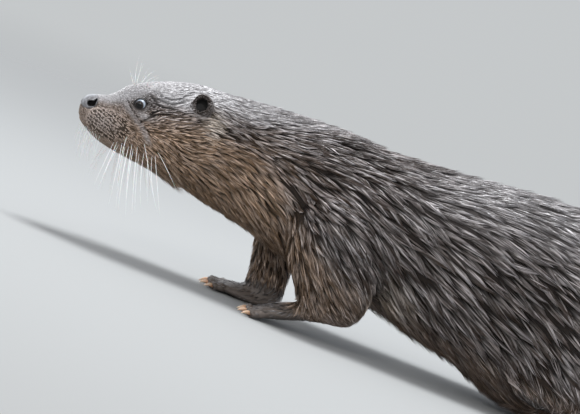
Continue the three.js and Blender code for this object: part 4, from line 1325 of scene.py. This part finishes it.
rng = np.random.default_rng(11)
mesh = body.data
mesh.calc_loop_triangles()
tri = np.empty(len(mesh.loop_triangles) * 3, int)
mesh.loop_triangles.foreach_get("vertices", tri)
tri = tri.reshape(-1, 3)
corner = from_row(vertex_points(mesh))
a, b, c = corner[tri[:, 0]], corner[tri[:, 1]], corner[tri[:, 2]]
face_normal = np.cross(b - a, c - a)
area = np.linalg.norm(face_normal, axis=1) / 2
face_normal = face_normal / np.maximum(2 * area, 1e-9)[:, None]
middle = (a + b + c) / 3
flat = unbent(middle)
off = off_trunk[tri].mean(1)
bare = skin_bare[tri].mean(1)
on_limb = (off > 0.4) & (flat[:, 0] > -60)
on_ear = (off > 0.2) & (flat[:, 0] < -60) & (flat[:, 0] > -140)

wanted = np.interp(flat[:, 0], COAT_X, COAT_DENSITY)
wanted = np.where(on_limb, wanted * np.interp(flat[:, 2], LIMB_Z, [1.5, 1.5, 1.7, 1.3, 1.0]), wanted)
wanted = wanted * (1 - 0.72 * bare)
_, out_of_eye, eye_size = eye_opening(flat)
eye_size = np.where(out_of_eye > EYE_SIDE_LIMIT, eye_size, 9)
wanted = wanted * smooth_step(eye_size, 1.18, 1.5)
wanted = wanted * smooth_step(nose_oval(flat), 0.98, 1.08)
mouth_gap = along_line(flat, MOUTH_LINE, 0.75, 1.0) * (flat[:, 2] < 104)
wanted = wanted * (1 - 0.5 * mouth_gap)
in_ear = np.maximum(ear_hollow(middle, -1), ear_hollow(middle, 1)) > 0.4
wanted = wanted * np.where(in_ear, 0.0, 1.0) * np.where(on_ear, 3.0, 1.0)
PAD_HAIR = (104, 11.5)  # level and half height of the pad's short hair
pad_here = 1 - smooth_step(pad_oval(flat, *PAD_HAIR), 0.9, 1.05)
wanted = wanted * (1 - 0.45 * pad_here) * (1 - np.clip(3.0 * pad_dots(flat), 0, 0.99))
wanted = wanted * (1 - np.clip(2.0 * partings(flat), 0, 0.98))
wanted = wanted * (1 - 0.9 * along_line(flat, PAD_EDGE, 0.7, 1.0))
wanted = wanted * np.where((flat[:, 2] < 4) & (face_normal[:, 2] < -0.6), 0.0, 1.0)

members = np.round(np.interp(flat[:, 0], [-185, -165, -140, -110, -60, 0, 60], [1, 2, 4, 7, 10, 13, 15]))
members = np.where(on_limb, np.round(np.interp(flat[:, 2], [0, 20, 50, 100], [2, 5, 10, 14])), members)
members = np.where(on_ear, 2, members).astype(int)
wanted = wanted * area
wanted = wanted * MOST_TUFTS / wanted.sum()
seeds = np.cumsum(wanted / members)
TRIES_PER_LOCK, CELL_SIZE = 4, 1.12
tries = int(seeds[-1] * TRIES_PER_LOCK)
draw = (np.arange(tries) + rng.random(tries)) / tries * seeds[-1]
face = np.minimum(np.searchsorted(seeds, draw), len(tri) - 1)
r1, r2 = np.sqrt(rng.random((tries, 1))), rng.random((tries, 1))
lock_root = (1 - r1) * a[face] + r1 * (1 - r2) * b[face] + r1 * r2 * c[face]
# Of the tries in each cell of a grid as fine as the locks are spaced, one is kept, so that they lie evenly.
spacing = np.sqrt(area * members / np.maximum(wanted, 1e-9))[face]
cell = np.floor(lock_root / (CELL_SIZE * spacing)[:, None]).astype(int)
kept = rng.permutation(np.unique(cell, axis=0, return_index=True)[1])
kept = np.sort(kept[np.cumsum(members[face[kept]]) <= MOST_TUFTS])
face, lock_root, LOCKS = face[kept], lock_root[kept], len(kept)


def combed_way(points, normal):
    """The way the hair lies on the skin at points in the otter's frame: the combed direction, laid on the
    surface, swung to and fro by soft noise that is calmer on the face."""
    still = unbent(points)
    turn = bend(still[:, 0])[2]
    way = lie_of_hair(still)
    way = np.stack([way[:, 0] * np.cos(turn) - way[:, 1] * np.sin(turn),
                    way[:, 0] * np.sin(turn) + way[:, 1] * np.cos(turn), way[:, 2]], axis=-1)
    way = unit(way - (way * normal).sum(1, keepdims=True) * normal)
    swing = 0.09 * waves(points, 30, rng) + 0.08 * waves(points, 12, rng)
    swing = swing + rng.normal(0, 0.06, len(points))
    swing = swing * np.interp(still[:, 0], [-200, -150, -60], [0.5, 0.7, 1])
    return still, unit(way * np.cos(swing)[:, None] + np.cross(normal, way) * np.sin(swing)[:, None])


lock_up = outward(to_row(lock_root), body)[1]
lock_still, lock_way = combed_way(lock_root, lock_up)
lock_limb, lock_ear, lock_bare = on_limb[face], on_ear[face], bare[face]
x, z = lock_still[:, 0], lock_still[:, 2]
lock_length = np.interp(x, COAT_X, COAT_LENGTH)
tuft_width = np.interp(x, COAT_X, COAT_WIDTH)
lock_width = np.interp(x, COAT_X, COAT_LOCK)
lock_deep = np.interp(x, COAT_DEPTH_X, COAT_DEPTH)
down = np.interp(z, LIMB_Z, LIMB_SCALE)
lock_length = np.where(lock_limb, lock_length * down, lock_length)
tuft_width = np.where(lock_limb, tuft_width * np.clip(down * 1.25, 0.4, 1), tuft_width)
lock_width = np.where(lock_limb, lock_width * np.clip(down * 1.3, 0.35, 1), lock_width)
lock_deep = np.where(lock_limb, np.interp(z, [0, 12, 25, 45, 80], [0.5, 0.7, 1.9, 3.2, 4.0]), lock_deep)
belly = smooth_step(-(z - np.interp(x, [-20, 40, 200, 400], [66, 58, 30, 44])), -12, 10) * ~lock_limb
lock_length = lock_length * (1 + 0.25 * belly * (x > 0) * (x < 420))
near_eye = 1 - smooth_step(eye_size[face], 1.5, 3.4)
lock_length = lock_length * (1 - 0.6 * near_eye)
tuft_width = tuft_width * (1 - 0.3 * near_eye)
lock_deep = lock_deep * (1 - 0.5 * near_eye)
jaw_edge = smooth_step(-z, -96, -89) * (x > -202) * (x < -120)
lock_length = lock_length * (1 + 1.3 * jaw_edge)
on_pad = pad_oval(lock_still, *PAD_HAIR) < 1
lock_length = np.where(on_pad, 2.5, lock_length)
tuft_width = np.where(on_pad, 0.95, tuft_width)
lock_deep = lock_deep * (1 + 2.0 * jaw_edge)
under_side = smooth_step(-lock_up[:, 2], 0.25, 0.8) * smooth_step(x, -150, -110)
under_side = under_side * (1 - smooth_step(x, 400, 450)) * ~lock_limb
lock_deep = lock_deep * (1 + 0.9 * under_side)
greys = markings_and_sheen(lock_still)[:, 2]
lock_deep = lock_deep * (1 - 0.5 * greys * (x < -90))
lock_length = np.where(lock_ear, 2.6, lock_length) * rng.uniform(0.75, 1.2, LOCKS)
tuft_width = np.where(lock_ear, 0.5, tuft_width)
lock_deep = np.where(lock_ear, 0.8, lock_deep)
lock_width = np.where(lock_ear, 1.2, lock_width) * rng.uniform(0.75, 1.25, LOCKS)

# The tufts of a lock are rooted side by side in a few strands and lean in to its point.
STRANDS, STRAND_WIDTH = 4, 1.35
owner = np.repeat(np.arange(LOCKS), members[face])
TUFTS = len(owner)
lock_side = unit(np.cross(lock_up, lock_way))
strands = np.clip(np.round(lock_width / STRAND_WIDTH), 1, STRANDS)[owner]
strand = np.floor(rng.random(TUFTS) * strands)
aside = (strand + 0.5 + rng.uniform(-0.2, 0.2, TUFTS)) / strands - 0.5
along_lock = rng.uniform(-0.38, 0.36, TUFTS) - 0.3 * np.abs(aside)
root = lock_root[owner] + lock_side[owner] * (aside * lock_width[owner])[:, None]
root = root + lock_way[owner] * (along_lock * lock_length[owner])[:, None]
sway = rng.normal(0, 0.10, LOCKS) * lock_length
point = lock_root + lock_way * lock_length[:, None] + lock_side * sway[:, None]
way = lock_way[owner]
over = np.maximum(partings(unbent(point)), partings(unbent((point + lock_root) / 2)))
over = over * (lock_still[:, 0] < -120)
lock_length = lock_length * (1 - 0.45 * smooth_step(over, 0.15, 0.5))
hollow_here = np.maximum(ear_hollow(point, -1, 0.75, 1.0), ear_hollow(point, 1, 0.75, 1.0)) > 0.3
lock_length = np.where(hollow_here, lock_length * np.where(lock_ear, 0.5, 0.3), lock_length)
point = lock_root + lock_way * lock_length[:, None] + lock_side * sway[:, None]
length = lock_length[owner] * (1 - along_lock) * rng.uniform(0.82, 1.04, TUFTS)
free_tip = root + way * length[:, None]
lean = point[owner] + lock_side[owner] * (aside * lock_width[owner] * 0.34)[:, None] - free_tip
lean = lean - (lean * way).sum(1, keepdims=True) * way
lock_random = rng.random((LOCKS, 3))[owner]
width, deep = tuft_width[owner], lock_deep[owner]
limb_here, bare_here = lock_limb[owner], lock_bare[owner]

STATIONS = np.array([0.0, 0.48, 1.0])
HEIGHTS = np.array([-0.15, 0.5, 0.8])
LEANING = STATIONS ** 1.6
spine = root[:, None] + STATIONS[None, :, None] * (way * length[:, None])[:, None]
spine = spine + LEANING[None, :, None] * lean[:, None]
foot, skin_up = outward(to_row(spine.reshape(-1, 3)), body)
foot = from_row(foot).reshape(TUFTS, 3, 3)
skin_up = skin_up.reshape(TUFTS, 3, 3)
rise = HEIGHTS[None, :] * deep[:, None] * (0.66 + 0.6 * lock_random[:, 1:2])
rise = rise * (0.85 + 0.3 * rng.random((TUFTS, 1)))
rise[:, 0] = HEIGHTS[0]
rise = rise * (1.15 - 2.8 * aside ** 2)[:, None]
spine = foot + skin_up * rise[..., None]

along = unit(np.gradient(spine, axis=1))
side_way = unit(np.cross(skin_up, along))
up_way = np.cross(along, side_way)
roll = rng.normal(0, 0.25, (TUFTS, 1, 1))
rolled_up = up_way * np.cos(roll) - side_way * np.sin(roll)
side_way = side_way * np.cos(roll) + up_way * np.sin(roll)
up_way = rolled_up
wide = (width * rng.uniform(0.7, 1.3, TUFTS))[:, None, None] * np.array([0.7, 1.0])[None, :, None]
left = spine[:, :2] - side_way[:, :2] * wide / 2
ridge = spine[:, :2] + up_way[:, :2] * wide * 0.42
right_edge = spine[:, :2] + side_way[:, :2] * wide / 2
edges = np.stack([left, ridge, right_edge], axis=2).reshape(TUFTS, 6, 3)
blade = np.concatenate([edges, spine[:, 2:]], axis=1)
blade[..., 2] = np.maximum(blade[..., 2], 0.15)
BLADE_FACES = np.array([[0, 1, 2], [0, 3, 4], [0, 4, 1], [1, 4, 5], [1, 5, 2], [2, 5, 3], [2, 3, 0],
                        [3, 6, 4], [4, 6, 5], [5, 6, 3]])
BLADE_UV = np.array([[0, 0], [0.5, 0], [1, 0], [0, 0.5], [0.5, 0.5], [1, 0.5], [0.5, 1]])
BLADE_ALONG = np.array([0, 0, 0, 0.5, 0.5, 0.5, 1.0])
# Share of the painted highlight at each point of a blade: full on the ridge, less on the edges.
BLADE_HIGHLIGHT = np.array([0.3, 1, 0.3, 0.3, 1, 0.3, 0.9])
BLADE_POINTS = len(BLADE_UV)
BAKE_PATCH = 0.003

still = lock_still[owner]
hair_marks = markings_and_sheen(still)
hair_marks[lock_ear[owner]] = (0.0, 0.0, 0.1)
# Painted highlight: most on a lock's middle and some random strands, less underneath, speckled on the pad.
strand_light = (1.2 * rng.random((LOCKS, STRANDS)) ** 2)[owner, strand.astype(int)]
crest_highlight = (0.55 + 0.45 * np.exp(-(aside / 0.25) ** 2)) * strand_light * rng.uniform(0.75, 1.25, TUFTS)
crest_highlight = crest_highlight * (1 - 0.4 * under_side[owner])
crest_highlight = np.where(on_pad[owner], rng.uniform(0.2, 0.9, TUFTS), crest_highlight) * np.where(lock_ear[owner], 0.4, 1.0)

# Each tuft's root on an unwrap of the body: along X and round the heart of the section there. Legs are
# unwrapped by height and round their own middle.
top_z, low_z = BODY_SECTIONS[:, 1], BODY_SECTIONS[:, 3]
heart_z = np.interp(still[:, 0], middles[:, 0], low_z + (top_z - low_z) * BODY_SECTIONS[:, 5])
body_round = np.arctan2(still[:, 1], -(still[:, 2] - heart_z)) / (2 * np.pi) + 0.5
fore = still[:, 0] < 150
leg_x = np.where(fore, np.where(still[:, 1] < 0, 40, 0), 310)
leg_y = np.where(fore, 47, 57) * np.where(still[:, 1] < 0, -1, 1)
leg_round = np.arctan2(still[:, 1] - leg_y, still[:, 0] - leg_x) / (2 * np.pi) + 0.5

# Hair: painted shade darkens it at the root and between the locks, and a painted highlight of silvery
# sheen lies along their crests and towards the tip, where the coat layer is wettest. The tone differs at
# random from lock to lock.
SHEEN_HIGHLIGHT = (0.88, 0.84, 0.85)
hair, tree, shader = painted("wet_hair", Roughness=0.34, Specular_IOR_Level=0.5, Coat_Roughness=0.25)
colour, shares, _ = marked_colour(tree)
lock = channels(tree, attribute(tree, "lock").outputs["Color"])
along_hair = calculated(tree, "POWER", lock["Green"], 1.25)
highlight = calculated(tree, "MULTIPLY", lock["Blue"], along_hair)
# Painted shade towards the root and painted highlight on the crests, both weaker where the grey sheen is.
amount = calculated(tree, "MULTIPLY_ADD", along_hair, 0.6, 0.05)
amount = calculated(tree, "MULTIPLY_ADD", highlight, 2.0, amount)
amount = calculated(tree, "MULTIPLY", amount, calculated(tree, "MULTIPLY_ADD", lock["Red"], 0.6, 0.7))
contrast = calculated(tree, "MULTIPLY_ADD", shares["Blue"], -0.75, 1.0)
amount = calculated(tree, "MULTIPLY_ADD", calculated(tree, "SUBTRACT", amount, 1.0), contrast, 1.0)
highlight_share = calculated(tree, "MINIMUM", highlight, 1.0)
for channel in ("Blue", "Red"):
    less = calculated(tree, "MULTIPLY_ADD", shares[channel], -0.4, 1.0)
    highlight_share = calculated(tree, "MULTIPLY", highlight_share, less)
tree.links.new(mixed(tree, highlight_share, scaled(tree, colour, amount), SHEEN_HIGHLIGHT), shader.inputs["Base Color"])
wet = calculated(tree, "MULTIPLY_ADD", shares["Blue"], 0.85, 0.15)
tree.links.new(calculated(tree, "MAXIMUM", wet, highlight), shader.inputs["Coat Weight"])


def coat_piece(name, chosen, u, v):
    """One coat mesh of the chosen tufts. Every tuft is the same small blade, so its faces, its patch of the
    bake map and its share along the hair are repeated arrays."""
    picked = np.flatnonzero(chosen)
    count = len(picked)
    points = to_row(blade[picked].reshape(-1, 3))
    faces = (BLADE_FACES[None] + BLADE_POINTS * np.arange(count)[:, None, None]).reshape(-1)
    mesh = bpy.data.meshes.new(name)
    mesh.vertices.add(len(points))
    mesh.vertices.foreach_set("co", points.ravel())
    mesh.loops.add(len(faces))
    mesh.loops.foreach_set("vertex_index", faces)
    mesh.polygons.add(len(faces) // 3)
    mesh.polygons.foreach_set("loop_start", np.arange(0, len(faces), 3))
    mesh.update(calc_edges=True)
    mesh.polygons.foreach_set("use_smooth", np.ones(len(faces) // 3, bool))
    place = np.stack([u[picked], v[picked]], axis=-1)
    low, high = place.min(0), place.max(0)
    place = 0.005 + (place - low) / (high - low) * (0.99 - BAKE_PATCH)
    uv = (place[:, None] + BLADE_UV[None] * BAKE_PATCH).reshape(-1, 2)[faces]
    mesh.uv_layers.new(name="OFBake").data.foreach_set("uv", uv.ravel())
    marks = np.column_stack([hair_marks[picked], bare_here[picked]])
    colour_attribute(mesh, "marks", np.repeat(marks, BLADE_POINTS, axis=0))
    # The lock attribute: a random tone per lock, the share along the hair and the painted highlight.
    own = np.repeat(lock_random[picked, 2], BLADE_POINTS)
    ridge_highlight = (crest_highlight[picked][:, None] * BLADE_HIGHLIGHT).ravel()
    lock_values = np.column_stack([own, np.tile(BLADE_ALONG, count), ridge_highlight])
    colour_attribute(mesh, "lock", lock_values)
    mesh.materials.append(hair)
    piece = bpy.data.objects.new(name, mesh)
    bpy.context.collection.objects.link(piece)
    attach(piece, "root")


on_body = ~limb_here
x = still[:, 0]
halves = (("left", still[:, 1] < 0), ("right", still[:, 1] >= 0))
for part, start, end in (("face", -math.inf, -125), ("neck", -125, -20),
                         ("chest", -20, 130), ("loin", 130, 460)):
    for word, half in halves:
        coat_piece(f"coat_{part}_{word}", on_body & half & (x >= start) & (x < end), x, body_round)
coat_piece("coat_tail", on_body & (x >= 460), x, body_round)
for leg, here in (("foreleg", fore), ("hindleg", ~fore)):
    for word, half in halves:
        coat_piece(f"coat_{leg}_{word}", limb_here & half & here, still[:, 2], leg_round)

# ------------------------------------------------------------------ floor, light and camera
# The model rests on a plain pale floor, whose edge melts into a backdrop of the same tone. A soft light
# hangs overhead, as cool as an overcast sky, with a weak warm one in front.

FLOOR_TONE = (0.30, 0.30, 0.295)
FLOOR_RADIUS, FLOOR_SOLID = 2.6, 0.8
ring = np.linspace(0, 2 * np.pi, 97)[:-1]
disc = np.stack([np.cos(ring), np.sin(ring), 0 * ring], axis=-1) * FLOOR_RADIUS
floor_mesh = bpy.data.meshes.new("floor")
floor_mesh.from_pydata(disc, [], [list(range(96))])
floor = bpy.data.objects.new("floor", floor_mesh)
bpy.context.collection.objects.link(floor)

floor_paint, tree, shader = painted("floor", Base_Color=(*FLOOR_TONE, 1), Roughness=0.9,
                                    Specular_IOR_Level=0.1)
reach = tree.nodes.new("ShaderNodeVectorMath")
reach.operation = "LENGTH"
tree.links.new(tree.nodes.new("ShaderNodeTexCoord").outputs["Object"], reach.inputs[0])
fade = eased(tree, reach.outputs["Value"], FLOOR_SOLID, FLOOR_RADIUS)
tree.links.new(calculated(tree, "SUBTRACT", 1.0, fade), shader.inputs["Alpha"])
floor_mesh.materials.append(floor_paint)

# The studio's dome is dark at the horizon, brightest and cool in a band low above it, and plain white
# overhead; the camera sees it as one even pale tone.
world = bpy.data.worlds.new("studio")
bpy.context.scene.world = world
world.use_nodes = True
tree = world.node_tree
place = tree.nodes.new("ShaderNodeTexCoord")
height = tree.nodes.new("ShaderNodeSeparateXYZ")
tree.links.new(place.outputs["Generated"], height.inputs[0])
dome = tree.nodes.new("ShaderNodeValToRGB")
for stop, tone in ((0.0, (0.14, 0.135, 0.13)), (0.15, (2.15, 2.28, 2.45)),
                   (0.5, (0.85, 0.91, 0.99)), (1.0, (1.0, 1.0, 1.0))):
    ramp = dome.color_ramp.elements
    point = ramp.new(stop) if 0 < stop < 1 else ramp[-int(stop)]
    point.color = (*tone, 1)
tree.links.new(height.outputs["Z"], dome.inputs["Fac"])
rays = tree.nodes.new("ShaderNodeLightPath")
seen_as = mixed(tree, rays.outputs["Is Camera Ray"], dome.outputs["Color"], (0.56, 0.58, 0.59))
tree.links.new(seen_as, tree.nodes["Background"].inputs["Color"])
tree.nodes["Background"].inputs["Strength"].default_value = 1.0


def soft_light(name, place, aim, size, power, colour):
    """A square area light at a place, turned to face another."""
    light = bpy.data.lights.new(name, "AREA")
    light.shape = "SQUARE"
    light.size = size
    light.energy = power
    light.color = colour
    lamp = bpy.data.objects.new(name, light)
    lamp.location = place
    lamp.rotation_euler = (Vector(aim) - Vector(place)).to_track_quat("-Z", "Y").to_euler()
    bpy.context.collection.objects.link(lamp)


soft_light("sky", (-0.3, 0.1, 1.8), (-0.2, 0, 0.1), 0.7, 44, (0.92, 0.96, 1.0))
soft_light("front", (-1.1, -2.0, 1.2), (-0.2, 0, 0.1), 0.5, 12, (1.0, 0.96, 0.90))

# The camera stands level with the left side, five degrees above the horizon and rolled, so that the
# otter climbs to the left of the frame.
CAMERA_RISE, CAMERA_ROLL = math.radians(5), math.radians(22)
CAMERA_AWAY, FRAME_WIDTH, SENSOR = 4.0, 0.493, 36.0
FRAME_MIDDLE = (-10.1, -45.0, 98.0)  # what the camera looks at, in the otter's frame
right0, up0 = np.array([1.0, 0, 0]), np.array([0, math.sin(CAMERA_RISE), math.cos(CAMERA_RISE)])
ahead = np.array([0, math.cos(CAMERA_RISE), -math.sin(CAMERA_RISE)])
right = math.cos(CAMERA_ROLL) * right0 + math.sin(CAMERA_ROLL) * up0
up = math.cos(CAMERA_ROLL) * up0 - math.sin(CAMERA_ROLL) * right0
seen = to_row(np.array(FRAME_MIDDLE))
camera = bpy.data.cameras.new("camera")
camera.sensor_width = SENSOR
camera.lens = SENSOR * CAMERA_AWAY / FRAME_WIDTH
camera.clip_start, camera.clip_end = 0.1, 30
bpy.context.scene.view_settings.view_transform = "Standard"
eye = bpy.data.objects.new("camera", camera)
turned = Matrix((Vector(right), Vector(up), Vector(-ahead))).transposed().to_4x4()
turned.translation = Vector(seen - ahead * CAMERA_AWAY)
eye.matrix_world = turned
bpy.context.collection.objects.link(eye)
bpy.context.scene.camera = eye
